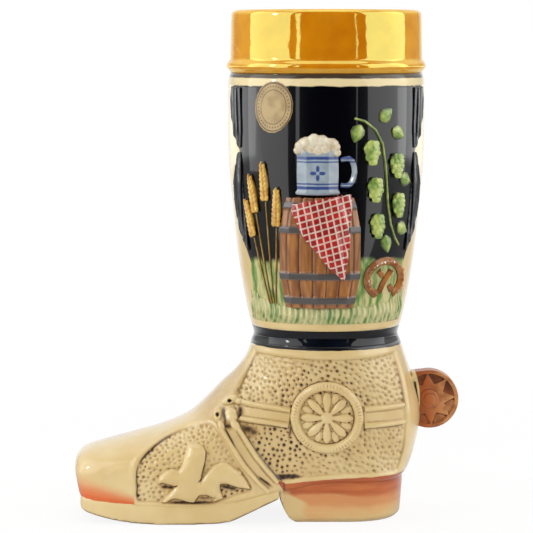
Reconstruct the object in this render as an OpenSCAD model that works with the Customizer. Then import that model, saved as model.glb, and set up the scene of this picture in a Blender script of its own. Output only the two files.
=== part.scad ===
// Ceramic beer boot: a tapered drinking leg on a moulded shoe, with relief ornament luted on.
// Millimetres. The leg's axis is the Z axis, the table is z = 0 and the toe points to -X.

/* [Leg and lip] */
// Height from the table to the rim
boot_height = 243; // [238:1:252]
// Outer radius of the leg under the lip
leg_top_radius = 46.9; // [46.3:0.1:47.8]
// Outer radius of the leg where it meets the ankle band
leg_foot_radius = 35.7; // [35.3:0.1:36.3]
// Wall thickness of lip, leg and ankle band
wall = 4.5; // [4:0.25:5]
// Height of the gold lip with its bead
lip_height = 29.5; // [27:0.5:32]
// Outer radius of the lip's straight part
lip_radius = 45.6; // [45:0.1:46]
// How far the bead stands out from the lip
bead_depth = 1.9; // [1.4:0.1:2.2]

/* [Foot] */
// Length of the shoe from the toe to the back of the heel
foot_length = 166; // [156:0.5:176]
// Width of the shoe at the ball
foot_width = 59; // [55:0.5:63]
// Height of the ankle, where the shoe ends and the band begins
ankle_height = 85.5; // [84:0.5:87]
// Wall thickness of the shoe
shoe_wall = 5; // [4.5:0.25:5.5]
// Height of the ankle band
band_height = 7.5; // [6.5:0.5:8.5]
// Radius of the band's waist
waist_radius = 34.6; // [34.2:0.1:35]

/* [Heel and spur] */
// Half width of the heel at its top
heel_top_radius = 26; // [25.5:0.25:27]
// Half width of the heel where it stands
heel_foot_radius = 24.6; // [23:0.2:25.4]
// Radius of the spur's rowel
spur_radius = 14; // [13:0.25:14.5]
// Thickness of the spur
spur_thick = 10; // [8:0.5:12]
// Points on the spur's star
spur_points = 8; // [6:1:10]

/* [Ornament] */
// Outer radius of the rosette's ring
rosette_radius = 17.4; // [16.5:0.1:17.8]
// Petals in each of the rosette's two rows
petals = 8; // [6:1:10]
// Depth of the sunk fields on the shoe's sides
field_sink = 0.8; // [0.5:0.1:1.2]
// Height of the straps' rails above the sunk field
rail_height = 2.3; // [1.8:0.1:2.8]
// Height of the lily above the vamp's field
leaf_height = 2.6; // [2.2:0.1:3]
// Height of the barrel above the leg, the deepest relief
barrel_height = 3.4; // [2.6:0.1:3.8]
// Height of the curtains' folds
drape_height = 1.7; // [1.2:0.1:2]

/* [Hidden] */

// The shoe's stations, from the toe's face to the ankle. Each is a slanted section: the top point x and z,
// the bottom point x and z, the half width, and how square the upper and the lower half are.
shoe_stations = [
    [-120.8, 25.5, -118.8, 15, 13, 2.2, 3],
    [-120, 29.5, -117.6, 11, 18, 2.4, 5],
    [-115.8, 33.2, -114.6, 9.7, 22, 2.4, 10],
    [-106, 36.3, -106, 9, 25.5, 2.3, 18],
    [-92, 40.2, -93, 8.2, 28, 2.2, 20],
    [-77, 44.7, -78, 7.8, 29.3, 2.1, 20],
    [-65.8, 50, -60, 7.8, 29.5, 2.1, 20],
    [-57.8, 57, -42, 9.5, 29, 2.1, 20],
    [-50, 65, -22, 14.8, 28, 2.1, 20],
    [-44.5, 70, 0, 19, 28.5, 2.1, 16],
    [-41, 74, 22, 19, 30, 2.1, 8],
    [-38.8, 77, 37.6, 21.5, 31.5, 2.1, 3],
    [-37.4, 80, 44, 38, 33, 2.05, 2.3],
    [-36.6, 82.3, 45.6, 52, 34, 2, 2],
    [-36.1, 84, 41.3, 69, 34.9, 2, 2],
    [-35.8, 85.5, 35.8, 85.5, 35.8, 2, 2]
];
drawn_length = 166;
drawn_width = 59;
drawn_ankle = 85.5;
x_scale = foot_length / drawn_length;
y_scale = foot_width / drawn_width;
z_scale = ankle_height / drawn_ankle;
last_station = len(shoe_stations) - 1;
// The ankle end keeps its round, true size, so the scales fade out towards it
stations = [for (i = [0:last_station]) let (
    row = shoe_stations[i],
    fade = min(1, (last_station - i) / 4),
    kx = 1 + (x_scale - 1) * fade,
    ky = 1 + (y_scale - 1) * fade
) [row[0] * kx, row[1] * z_scale, row[2] * kx, row[3] * z_scale, row[4] * ky, row[5], row[6]]];

ring_points = 32;
outer_rings = 24;
inner_rings = 7;
// Where along the stations the cavity's toe ends
cavity_toe = 0.15;
ankle_radius = stations[last_station][4];
band_top = ankle_height + band_height;
lip_bottom = boot_height - lip_height;
leg_top = lip_bottom - 2;
// How far the leg has widened from foot to top, at heights above the band
leg_widening = [[0, 0], [6.5, 0.15], [23, 0.43], [40, 0.64], [60, 0.82], [82, 0.98], [leg_top - band_top, 1]];
leg_shape = [for (w = leg_widening)
    [band_top + w[0], leg_foot_radius + (leg_top_radius - leg_foot_radius) * w[1]]];
leg_steps = 24;

// Curves

function unit(v) = v / norm(v);

// A smooth curve through rows of numbers, for u from 0 to 1
function spline(rows, u) = let (
    n = len(rows) - 1,
    i = min(floor(u * n), n - 1),
    f = u * n - i,
    p0 = rows[max(i - 1, 0)],
    p1 = rows[i],
    p2 = rows[i + 1],
    p3 = rows[min(i + 2, n)]
) 0.5 * (2 * p1 + (p2 - p0) * f + (2 * p0 - 5 * p1 + 4 * p2 - p3) * f ^ 2
    + (3 * p1 - p0 - 3 * p2 + p3) * f ^ 3);

function arc_points(centre, radius, from, to, steps) = [for (i = [0:steps]) let (
    a = from + (to - from) * i / steps
) centre + radius * [cos(a), sin(a)]];

// The leg's surface

function leg_curve(u) = spline(leg_shape, u);

// Outer radius of the leg at height z, found by halving the interval
function leg_radius(z, lo = 0, hi = 1, k = 14) = let (mid = (lo + hi) / 2)
    k == 0 ? leg_curve(mid)[1]
    : leg_curve(mid)[0] < z ? leg_radius(z, mid, hi, k - 1) : leg_radius(z, lo, mid, k - 1);

// A point on the near side of the leg: arc length from the middle, height, and height above the glaze
function on_leg(a, z, h) = let (
    r = leg_radius(z),
    turn = a / r * 180 / PI
) [(r + h) * sin(turn), -(r + h) * cos(turn), z];

// The shoe's surface

function station(u) = spline(stations, u);

// Which side of a station's line a point of the side view lies on
function ahead(row, x, z) = (row[2] - row[0]) * (z - row[1]) - (row[3] - row[1]) * (x - row[0]) > 0;

function station_at(x, z, lo = 0, hi = 1, k = 14) = let (mid = (lo + hi) / 2)
    k == 0 ? station(mid)
    : ahead(station(mid), x, z) ? station_at(x, z, mid, hi, k - 1) : station_at(x, z, lo, mid, k - 1);

// Half width of the shoe at a point of its side view
function half_width(x, z) = let (
    row = station_at(x, z),
    top = [row[0], row[1]],
    line = [row[2], row[3]] - top,
    t = ([x, z] - top) * line / (line * line),
    c = abs(1 - 2 * t),
    n = t < 0.5 ? row[5] : row[6]
) c >= 1 ? 0 : row[4] * (1 - c ^ n) ^ (1 / n);

// A point on the near side of the shoe, at a height above its smooth borders
function on_shoe(x, z, h) = let (
    e = 0.4,
    y = half_width(x, z),
    sx = (half_width(x + e, z) - half_width(x - e, z)) / (2 * e),
    sz = (half_width(x, z + e) - half_width(x, z - e)) / (2 * e),
    n = unit([-sx, -1, -sz])
) [x, -y, z] + h * n;

// The same, at a height above the floor of a sunk field
function on_field(x, z, h) = on_shoe(x, z, h - field_sink);

// Height of the shoe's underside at x
function underside(x, lo = 0, hi = 0.75, k = 14) = let (mid = (lo + hi) / 2)
    k == 0 ? station(mid)[3]
    : station(mid)[2] < x ? underside(x, mid, hi, k - 1) : underside(x, lo, mid, k - 1);

function shoe_ring(row, inset) = let (
    top = [row[0], row[1]],
    bottom = [row[2], row[3]],
    middle = (top + bottom) / 2,
    half = (top - bottom) / 2,
    along = half * (1 - inset / norm(half)),
    across = row[4] - inset
) [for (i = [0:ring_points - 1]) let (
    c = cos(360 * i / ring_points),
    s = sin(360 * i / ring_points),
    n = c > 0 ? row[5] : row[6],
    reach = (abs(c) ^ n + abs(s) ^ n) ^ (-1 / n),
    p = middle + along * c * reach
) [p[0], across * s * reach, p[1]]];

// Solids from rings

// Triangles between neighbouring rings of m points
function side_faces(n, m, closed) = [for (i = [0:n - (closed ? 1 : 2)], j = [0:m - 1]) let (
    a = i * m + j,
    b = i * m + (j + 1) % m,
    next = ((i + 1) % n - i) * m
) each [[a, b, b + next], [a, b + next, a + next]]];

// A tube that closes at both ends, such as the shoe's outer skin and its cavity in one
module tube(rings) {
    n = len(rings);
    m = len(rings[0]);
    k = (n - 1) * m;
    ends = [for (j = [1:m - 2]) each [[0, j + 1, j], [k, k + j, k + j + 1]]];
    polyhedron([for (r = rings) each r], concat(side_faces(n, m, false), ends), convexity = 6);
}

// The section of a relief: its raised points from left to right, then its back on the surface
function relief_ring(seat, at, across, width, section, back) = concat(
    [for (p = section) let (q = at + across * width * p[0]) seat(q[0], q[1], p[1])],
    [for (x = back) let (q = at + across * width * x) seat(q[0], q[1], 0)]
);

// Relief along a path on a surface, with a half width and a section at each point of the path.
// A rounded relief that is narrow has a plain back, given by its places across from right to left.
module relief(seat, path, widths, sections, plain_back = [], closed = false) {
    n = len(path);
    s = len(sections[0]);
    full = len(plain_back) == 0;
    back = full ? [for (i = [s - 1:-1:0]) sections[0][i][0]] : plain_back;
    m = s + len(back);
    rings = [for (i = [0:n - 1]) let (
        before = closed ? path[(i + n - 1) % n] : path[max(i - 1, 0)],
        after = closed ? path[(i + 1) % n] : path[min(i + 1, n - 1)],
        t = unit(after - before)
    ) relief_ring(seat, path[i], [t[1], -t[0]], widths[i], sections[i], back)];
    k = (n - 1) * m;
    ends = closed ? []
        : full ? [for (j = [0:s - 2]) each [
            [j, m - 1 - j, m - 2 - j], [j, m - 2 - j, j + 1],
            [k + j, k + j + 1, k + m - 2 - j], [k + j, k + m - 2 - j, k + m - 1 - j]]]
        : [for (j = [1:m - 2]) each [[0, j + 1, j], [k, k + j, k + j + 1]]];
    polyhedron([for (r = rings) each r], concat(side_faces(n, m, closed), ends), convexity = 6);
}

// Sections: a crowned leaf, a strap with a rail on each edge, and a curtain with two folds
edge_height = 0.4;
function crown(height, points) = [for (i = [0:points - 1]) let (x = 2 * i / (points - 1) - 1)
    [x, edge_height + (height - edge_height) * (1 - x ^ 2) ^ 0.7]];
function strap_section(rail) = [
    [-1, edge_height], [-0.88, rail], [-0.62, rail], [-0.46, edge_height],
    [0.46, edge_height], [0.62, rail], [0.88, rail], [1, edge_height]
];
function fold_section(height) = [
    [-1, edge_height], [-0.55, height], [0, height * 0.45], [0.55, height], [1, edge_height]
];

// A leaf along a curved spine: rows of place and half width, its greatest height, and its fineness
module leaf(seat, spine, height, steps, points, plain_back = [1, -1]) {
    rows = [for (i = [0:steps]) spline(spine, i / steps)];
    swell = max([for (r = rows) r[2]]);
    relief(seat, [for (r = rows) [r[0], r[1]]], [for (r = rows) r[2]],
        [for (r = rows) crown(edge_height + (height - edge_height) * (r[2] / swell) ^ 0.6, points)],
        plain_back);
}

// Pot

module lip_ring() color("goldenrod") rotate_extrude($fn = 96)
    polygon(concat(
        [[lip_radius - wall, lip_bottom]],
        [[lip_radius, lip_bottom]],
        arc_points([lip_radius - 0.6, lip_bottom + 3.2], bead_depth + 0.6, -70, 60, 8),
        [[lip_radius + 0.1, lip_bottom + 6.4], [lip_radius - 0.2, boot_height - 6]],
        arc_points([lip_radius - 2.6, boot_height - 2.2], 2.2, 0, 180, 8)
    ));

module leg() color("midnightblue") rotate_extrude($fn = 96)
    polygon(concat(
        [for (i = [0:leg_steps]) let (p = leg_curve(i / leg_steps)) [p[1], p[0]]],
        [[lip_radius + 0.2, leg_top + 0.8], [lip_radius, lip_bottom]],
        [for (i = [leg_steps:-1:0]) let (p = leg_curve(i / leg_steps))
            [min(p[1] - wall, lip_radius - wall), p[0] + (i == leg_steps ? lip_bottom - leg_top : 0)]]
    ));

module ankle_band() color("midnightblue") rotate_extrude($fn = 96)
    polygon(concat(
        [for (i = [0:8]) let (row = spline([
            [ankle_radius, ankle_height], [waist_radius + 0.4, ankle_height + band_height * 0.25],
            [waist_radius, ankle_height + band_height * 0.5], [leg_foot_radius, band_top]], i / 8)) row],
        [[leg_foot_radius - wall, band_top], [waist_radius - wall, ankle_height + band_height * 0.5],
            [ankle_radius - shoe_wall, ankle_height]]
    ));

// Side outlines of the two sunk fields, behind and before the sole strap
counter_field = [
    [-33.6, 81], [-18, 80.1], [0, 79.8], [18, 80.2], [32, 81.4], [36.4, 66], [38.4, 50], [37.4, 36],
    [33, 22.4], [-21.5, 21], [-42.4, 48.6], [-44.6, 56], [-42.4, 62.8]
];
vamp_field = [
    [-53.2, 46.6], [-62, 46.8], [-75.9, 41.4], [-87, 32.6], [-90.4, 25.5], [-90, 11], [-56.6, 9.6],
    [-41.5, 14.6], [-35, 17.2]
];
field_reach = 60;
// The fields stay clear of the shoe's middle, so that each cuts one side only
field_clear = 4;

function skin_rings(inset, from, to) = [for (i = [from:to]) shoe_ring(station(i / outer_rings), inset)];

// The near half of the shoe within a skin, for a stretch of its rings. Each half ring starts at its top.
module near_half(inset, from, to) tube([for (ring = skin_rings(inset, from, to))
    concat([ring[0]], [for (i = [ring_points / 2:ring_points - 1]) ring[i]])]);

// A side outline as a bar that runs out through the near side
module side_bar(outline) translate([0, -field_clear, 0]) rotate([90, 0, 0]) linear_extrude(field_reach)
    polygon(outline);

// What the fields take off the near side
module field_cut() difference() {
    union() {
        side_bar(counter_field);
        side_bar(vamp_field);
    }
    near_half(field_sink, 0, outer_rings);
}

module foot() color("wheat") difference() {
    tube(concat(
        skin_rings(0, 0, outer_rings),
        [for (i = [0:inner_rings]) shoe_ring(station(1 - (1 - cavity_toe) * i / inner_rings), shoe_wall)]
    ));
    for (side = ["near", "far"]) on_side(side) field_cut();
}

// Where the sole ends and the heel begins
waist_x = -22.5;
toe_x = stations[1][2];
sole_steps = 14;
// How far along the stations the sole reaches
sole_reach = 0.56;

module sole() color("wheat") intersection() {
    // plan, a little wider than the shoe
    linear_extrude(40) polygon(concat(
        [for (i = [0:sole_steps]) let (row = station(sole_reach * i / sole_steps)) [row[2], row[4] + 0.3]],
        [for (i = [sole_steps:-1:0]) let (row = station(sole_reach * i / sole_steps)) [row[2], -row[4] - 0.3]]
    ));
    // side, with toe spring and arch
    rotate([90, 0, 0]) linear_extrude(90, center = true) polygon(concat(
        [[toe_x, 7.4], [toe_x + 1, 5.8], [toe_x + 3.5, 4.6], [toe_x + 9, 3.2], [toe_x + 17, 1.6],
            [toe_x + 27, 0.4], [toe_x + 34, 0]],
        [[-62, 0], [-52, 0.4], [-46, 1.2], [-43.6, 2], [waist_x, 12]],
        [for (i = [0:sole_steps]) let (x = waist_x + (toe_x + 0.2 - waist_x) * i / sole_steps)
            [x, underside(x)]]
    ));
}

heel_back_x = 11.4;
heel_top = 19;
heel_edge = 2.2;
heel_section = [
    [0, 0], [heel_foot_radius - heel_edge, 0], [heel_foot_radius, heel_edge],
    [heel_top_radius, heel_top], [0, heel_top]
];

module heel() color("sienna") intersection() {
    union() {
        translate([heel_back_x, 0, 0]) rotate_extrude($fn = 72) polygon(heel_section);
        translate([heel_back_x, 0, 0]) rotate([90, 0, -90]) linear_extrude(heel_back_x + 30)
            polygon(concat(heel_section, [for (i = [3:-1:1]) [-heel_section[i][0], heel_section[i][1]]]));
    }
    // breast, hollowed towards the arch, and the shoe's underside
    rotate([90, 0, 0]) linear_extrude(90, center = true) polygon(concat(
        [[-15, 0], [-18, 2.5], [-20.5, 7], [waist_x + 0.1, 12]],
        [for (i = [0:4]) let (x = waist_x + 0.1 - waist_x * i / 4) [x, underside(x)]],
        [[40, heel_top], [40, 0]]
    ));
}

spur_x = 50;
spur_z = 56.6;
spur_rim = 1.8;
spur_recess = 1.3;
// The stretch of the shoe's back that carries the spur, from top to bottom
spur_seat = [0.936, 0.832];

// Side outline of the spur: a disc whose foot follows the back of the shoe
module spur_outline() {
    translate([spur_x, spur_z]) circle(spur_radius, $fn = 72);
    polygon(concat(
        [[spur_x, spur_z - spur_radius], [spur_x, spur_z + spur_radius]],
        [for (i = [0:6]) let (row = station(spur_seat[0] + (spur_seat[1] - spur_seat[0]) * i / 6))
            [row[2], row[3]]]
    ));
}

module spur_star() polygon([for (i = [0:2 * spur_points - 1]) let (
    r = i % 2 == 0 ? spur_radius - spur_rim + 0.3 : spur_radius * 0.52,
    a = 180 * i / spur_points
) [spur_x + r * cos(a), spur_z + r * sin(a)]]);

module spur() color("sienna") rotate([90, 0, 0]) union() {
    difference() {
        linear_extrude(spur_thick, center = true) spur_outline();
        for (side = [-1, 1]) translate([spur_x, spur_z, side * spur_thick / 2])
            cylinder(h = 2 * spur_recess, r = spur_radius - spur_rim, center = true, $fn = 72);
    }
    linear_extrude(spur_thick - 0.6, center = true) spur_star();
    translate([spur_x, spur_z, 0]) cylinder(h = spur_thick + 0.8, r = 4.3, center = true, $fn = 48);
    translate([spur_x, spur_z, 0]) cylinder(h = spur_thick + 2, r = 2.4, center = true, $fn = 48);
}

// Shoe ornament, near side

rosette_z = 51.6;
rosette_steps = 28;
eye_radius = 2.1;

module rosette_ring() color("wheat") let (
    middle = rosette_radius - 2.2,
    seat = function (x, z, h) on_field(x, z, h)
) relief(seat,
    [for (i = [0:rosette_steps - 1]) let (a = -360 * i / rosette_steps)
        [middle * cos(a), rosette_z + middle * sin(a)]],
    [for (i = [1:rosette_steps]) 2.2],
    [for (i = [1:rosette_steps]) [[-1, 0.8], [-0.6, 2.4], [0, 3], [0.6, 2.5], [1, 0.8]]],
    [1, -1], closed = true);

module petal(turn, from, to, width, height, steps, points) let (
    seat = function (r, w, h) let (c = cos(turn), s = sin(turn))
        on_field(r * c - w * s, rosette_z + r * s + w * c, h)
) leaf(seat, [
    [from, 0, width * 0.36], [from + (to - from) * 0.27, 0, width * 0.86],
    [from + (to - from) * 0.6, 0, width], [to, 0, width * 0.14]
], height, steps, points);

module rosette_flower() color("wheat") {
    for (i = [0:petals - 1]) {
        petal(360 * i / petals + 90, 2.4, 12.5, 2.05, 2.6, 5, 5);
        petal(360 * (i + 0.5) / petals + 90, 7.9, 12.2, 1.35, 1.5, 2, 3);
    }
    relief(function (x, z, h) on_field(x, z, h), [for (i = [0:6]) [-eye_radius * cos(30 * i), rosette_z]],
        [for (i = [0:6]) max(0.3, eye_radius * sin(30 * i))], [for (i = [0:6]) crown(1.3, 3)], [1, -1]);
}

module strap(spine, seat) let (
    steps = 5,
    rows = [for (i = [0:steps]) spline(spine, i / steps)]
) relief(seat, [for (r = rows) [r[0], r[1]]], [for (r = rows) r[2]],
    [for (r = rows) strap_section(rail_height)]);

module rear_strap() color("wheat")
    strap([[17.6, 51.8, 5.4], [24, 52, 5.4], [31, 52.2, 5.4], [36.6, 52.4, 5.4]],
        function (x, z, h) on_field(x, z, h));

module front_strap() color("wheat")
    strap([[-17.6, 51.2, 5], [-25, 52.2, 5], [-33, 53.2, 5], [-40.5, 54.2, 5]],
        function (x, z, h) on_field(x, z, h));

// It lies on the smooth ridge between the fields
module sole_strap() color("wheat")
    strap([[-47, 47.8, 4.9], [-41.2, 38, 4.9], [-34.6, 28, 4.9], [-25.4, 18, 4.3]],
        function (x, z, h) on_shoe(x, z, h));

// Three blunt keepers where the straps meet the instep
module strap_tabs() color("wheat") {
    seat = function (x, z, h) on_shoe(x, z, h);
    leaf(seat, [[-49.6, 60, 1.8], [-48.4, 59.4, 2.7], [-44.4, 57.8, 2.7], [-41.4, 56.9, 2.2]], 2.3, 5, 3);
    leaf(seat, [[-54.2, 54.6, 1.6], [-53.4, 53.4, 2.3], [-51.8, 50.4, 2.3], [-50.6, 48.4, 1.8]], 2.3, 5, 3);
    leaf(seat, [[-48.4, 54.6, 1.8], [-47.8, 53.6, 2.6], [-45.8, 50.4, 2.6], [-44.8, 48.8, 2]], 2.1, 5, 3);
}

// Side outline of the broad lily on the vamp, clockwise: its upright leaf, the right lobe and its underside,
// the foot with a bay and a wavy edge, and the left lobe
lily_outline = [
    [-65.9, 39.1], [-62.5, 39.6], [-59, 38.5], [-57.2, 35], [-57.6, 30.8], [-59.8, 21.9],
    [-56.9, 25.3], [-54, 28.3], [-50, 30.1], [-46.9, 29.9], [-44.1, 27.9], [-41.1, 25.3], [-38.5, 21.8],
    [-36, 17.3], [-41.3, 17.8], [-44.6, 19], [-47.9, 20], [-50.5, 19.7], [-50.3, 16.2],
    [-49.1, 13], [-53.1, 11.6], [-54, 12.9], [-56.9, 14.4], [-60.4, 14.1], [-62.6, 11],
    [-64.9, 11], [-67, 11.5], [-71.8, 12.7], [-74.3, 11.8], [-76, 10.8], [-78.1, 10.8],
    [-77, 12.7], [-72.7, 17.8], [-72.6, 18.9], [-77.6, 20.3], [-79.5, 19.7], [-80.4, 21.4],
    [-79.1, 23.9], [-76.2, 26], [-72.9, 27.1], [-70.2, 26.4], [-68.2, 30.1], [-66.9, 36]
];

// The stretch of the shoe's rings that carries the lily
lily_from = 6;
lily_to = 13;

// It stands up from the floor of the vamp's field
module vamp_scroll() color("wheat") difference() {
    intersection() {
        side_bar(lily_outline);
        near_half(field_sink - leaf_height, lily_from, lily_to);
    }
    near_half(field_sink, lily_from, lily_to);
}

// Panel relief on the leg, near side. Places are arc length from the panel's middle and height.

// Gathered curtains down both edges of the panel
module curtain(spine, steps) let (
    rows = [for (i = [0:steps]) spline(spine, i / steps)]
) relief(function (a, z, h) on_leg(a, z, h), [for (r = rows) [r[0], r[1]]], [for (r = rows) r[2]],
    [for (r = rows) fold_section(drape_height * min(1, 0.4 + r[2] / 6))], [1, 0, -1]);

module panel_drapes() color("midnightblue") for (side = [-1, 1]) {
    curtain([[side * 53.6, 207, 5.4], [side * 54, 198, 5.4], [side * 52.4, 188, 4.6],
        [side * 49.4, 178.4, 0.9]], 4);
    curtain([[side * 49.8, 176.6, 0.9], [side * 51.6, 166, 4.2], [side * 51.8, 154, 4.8],
        [side * 49.6, 142, 4], [side * 43.6, 130, 0.8]], 6);
}

meadow_foot = 96.5;
meadow_reach = 43;
meadow_steps = 18;

// Grass along the foot of the panel, rising into a hillock at each end
module meadow() color("olivedrab") let (
    places = [for (i = [0:meadow_steps]) meadow_reach * (2 * i / meadow_steps - 1)],
    halves = [for (a = places) 3.9 + 3.4 * (a / meadow_reach) ^ 4 + 0.4 * sin(a * 31)]
) relief(function (a, z, h) on_leg(a, z, h),
    [for (i = [0:meadow_steps]) [places[i], meadow_foot + halves[i]]],
    halves, [for (h = halves) crown(1.6, 3)], [1, -1]);

barrel_a = -4;
barrel_z = 130.4;
barrel_half = 26;
barrel_belly = 20;
barrel_head = 16;
barrel_hoops = [-0.86, -0.42, 0.42, 0.86];
hoop_height = 0.6;

function barrel_side(z) = let (t = (z - barrel_z) / barrel_half)
    barrel_belly - (barrel_belly - barrel_head) * t ^ 2;

// Height of the barrel's round front above the leg
function barrel_front(a, z) = let (x = min(1, abs(a - barrel_a) / barrel_side(z)))
    edge_height + (barrel_height - edge_height) * sqrt(1 - x ^ 2);

module barrel() color("saddlebrown") {
    hoop = 0.07;
    edges = [-hoop, -hoop * 0.8, hoop * 0.8, hoop];
    levels = concat([-1], [for (t = barrel_hoops, edge = edges) t + edge], [1]);
    raised = concat([0], [for (t = barrel_hoops) each [0, hoop_height, hoop_height, 0]], [0]);
    points = 5;
    relief(function (a, z, h) on_leg(a, z, h),
        [for (t = levels) [barrel_a, barrel_z + t * barrel_half]],
        [for (t = levels) barrel_side(barrel_z + t * barrel_half)],
        [for (r = raised) [for (i = [0:points - 1]) let (x = sin(90 * (2 * i / (points - 1) - 1)))
            [x, r + edge_height + (barrel_height - edge_height) * sqrt(1 - min(1, abs(x)) ^ 2)]]],
        [1, 0.6, 0.2, -0.2, -0.6, -1]);
}

// A cloth over the barrel's head, lying on the hoops and hanging down to one side in a point
module cloth() color("firebrick") let (
    top = barrel_z + barrel_half - 0.6,
    seat = function (a, z, h) on_leg(a, z, h + barrel_front(a, z) + hoop_height)
) leaf(seat, [[-3.6, top, 14.4], [-1.6, top - 10, 12.4], [2.4, top - 24, 7.4], [6.4, top - 38, 0.8]],
    1.5, 6, 7, [1, 0.6, 0.2, -0.2, -0.6, -1]);

mug_a = -5;
mug_foot = 157.6;
mug_half = 9.6;

// A stoneware mug with its froth and its handle
module mug() color("lightsteelblue") {
    seat = function (a, z, h) on_leg(a, z, h);
    levels = [0, 0.6, 1.4, 2.2, 10, 18, 19, 20.6];
    swell = [1, 1.08, 1.08, 1, 1.02, 1, 1.06, 1.06];
    relief(seat, [for (t = levels) [mug_a, mug_foot + t]], [for (s = swell) mug_half * s],
        [for (s = swell) crown(3 * s, 5)], [1, 0, -1]);
    for (froth = [[-6.6, 23, 3], [0, 24, 3.4], [6.6, 23, 3]]) let (
        a = mug_a + froth[0],
        z = mug_foot + froth[1]
    ) leaf(seat, [[a, z - 2, 1.8], [a, z - 0.4, 3.1], [a, z + 1.6, 3.1], [a, z + froth[2] + 0.4, 1]],
        3, 3, 5);
    handle = [[10.6, 16.2, 1.1], [15.4, 16.6, 1.3], [17.2, 10.6, 1.3], [15, 4.8, 1.3], [10.6, 4.6, 1.1]];
    leaf(seat, [for (p = handle) [mug_a + p[0], mug_foot + p[1], p[2]]], 2, 10, 3);
}

// A sheaf of barley to the left. Each ear: how far its stalk leans, and the stalk's length.
barley_ears = [[-1, 37], [5, 49], [12, 44], [17, 33]];
barley_foot = [-25.6, 105.6];
ear_length = 17;

module barley() color("gold") {
    seat = function (a, z, h) on_leg(a, z, h);
    for (i = [0:len(barley_ears) - 1]) let (
        up = [-sin(barley_ears[i][0]), cos(barley_ears[i][0])],
        stalk_foot = barley_foot - [1.3 * i, 0],
        root = stalk_foot + barley_ears[i][1] * up
    ) {
        leaf(seat, [concat(root, 1.1), concat(root + ear_length * 0.35 * up, 2.4),
            concat(root + ear_length * 0.7 * up, 2.2), concat(root + ear_length * up, 0.6)], 2.2, 5, 3);
        leaf(seat, [concat(stalk_foot, 0.4), concat((stalk_foot + root) / 2, 0.5),
            concat(root - 0.6 * up, 0.4)], 1, 2, 3);
    }
}

// A hop bine to the right: a stem, cones that hang beside it, and broad leaves
hop_stem = [[12, 193], [20, 190], [26.4, 181], [28.6, 166], [30, 152], [33, 140], [38, 133]];
hop_cones = [[20.6, 178, 3.8], [35, 171.6, 4], [22.6, 160.6, 3.8], [36.6, 153, 3.8], [24, 143.6, 3.6]];
hop_leaves = [[13.6, 186.4, 250], [28, 194, 40], [35.6, 186, 335], [41.4, 164, 340], [40, 141, 335],
    [29.5, 134.5, 280]];
hop_leaf_size = 1.2;

module hops() color("yellowgreen") {
    seat = function (a, z, h) on_leg(a, z, h);
    leaf(seat, [for (p = hop_stem) concat(p, 0.7)], 1.2, 9, 3);
    for (cone = hop_cones) leaf(seat, [
        [cone[0], cone[1] + 5, 1.1], [cone[0], cone[1] + 2.2, cone[2]],
        [cone[0], cone[1] - 2.6, cone[2] * 0.86], [cone[0], cone[1] - 7, 0.5]], 3, 4, 3);
    for (place = hop_leaves) let (
        dir = hop_leaf_size * [cos(place[2]), sin(place[2])],
        at = [place[0], place[1]]
    ) leaf(seat, [
        concat(at - 3.2 * dir, 0.9), concat(at - 1 * dir, 3 * hop_leaf_size),
        concat(at + 1.6 * dir, 2.4 * hop_leaf_size), concat(at + 4 * dir, 0.5)], 1.5, 4, 3);
}

// A pretzel leaning on the right, one rope of dough with crossed ends
module pretzel() color("chocolate") {
    seat = function (a, z, h) on_leg(a, z, h);
    centre = [29.6, 117.4];
    leaf(seat, [for (a = [-62:20:242]) concat(centre + [10.8 * cos(a), 8.6 * sin(a)], 2)], 2.8, 16, 3);
    leaf(seat, [[centre[0] - 3.8, centre[1] - 6.4, 1.5], [centre[0] - 1.2, centre[1] - 1.6, 1.6],
        [centre[0] + 3.6, centre[1] + 3.8, 1.5]], 2.3, 5, 3);
    leaf(seat, [[centre[0] + 4.2, centre[1] - 6, 1.5], [centre[0] + 2.6, centre[1] - 3.2, 1.5]], 2.3, 3, 3);
    leaf(seat, [[centre[0] - 1.8, centre[1] + 1.6, 1.5], [centre[0] - 4.4, centre[1] + 4.2, 1.5]], 2.3, 3, 3);
}

// An oval paper label
label_at = [-27, 198];
label_turn = -10;
label_half = [10.4, 12];
label_thick = 0.3;
label_steps = 10;
module label() color("tan") let (
    seat = function (p, q, h) let (c = cos(label_turn), s = sin(label_turn))
        on_leg(label_at[0] + p * c - q * s, label_at[1] + p * s + q * c, h)
) relief(seat, [for (i = [0:label_steps]) [0, -label_half[1] * cos(180 * i / label_steps)]],
    [for (i = [0:label_steps]) max(0.4, label_half[0] * sin(180 * i / label_steps))],
    [for (i = [0:label_steps]) [for (x = [-1, -0.4, 0.4, 1]) [x, label_thick]]]);

module on_side(side) if (side == "near") children(); else mirror([0, 1, 0]) children();

lip_ring();
leg();
ankle_band();
foot();
sole();
heel();
spur();
label();
for (side = ["near", "far"]) on_side(side) {
    rosette_ring();
    rosette_flower();
    rear_strap();
    front_strap();
    sole_strap();
    strap_tabs();
    vamp_scroll();
    panel_drapes();
    meadow();
    barrel();
    mug();
    cloth();
    barley();
    hops();
    pretzel();
}
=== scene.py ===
# %% [markdown]
# # A ceramic beer boot
#
# The boot is one fired pot, but a potter makes it from many pieces: a thrown lip, a cast leg and shoe,
# and sprigs, which are small reliefs pressed in moulds and stuck on with slip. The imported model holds
# all these pieces at their true size and place. This lesson takes each of them up in turn, gives it the
# soft edges, pits and folds of real clay, and then glazes it. All lengths are metres, so a millimetre
# has a name of its own.

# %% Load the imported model
import math
import bpy
import numpy as np
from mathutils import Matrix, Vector
from mathutils.bvhtree import BVHTree
from mathutils.kdtree import KDTree


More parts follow.
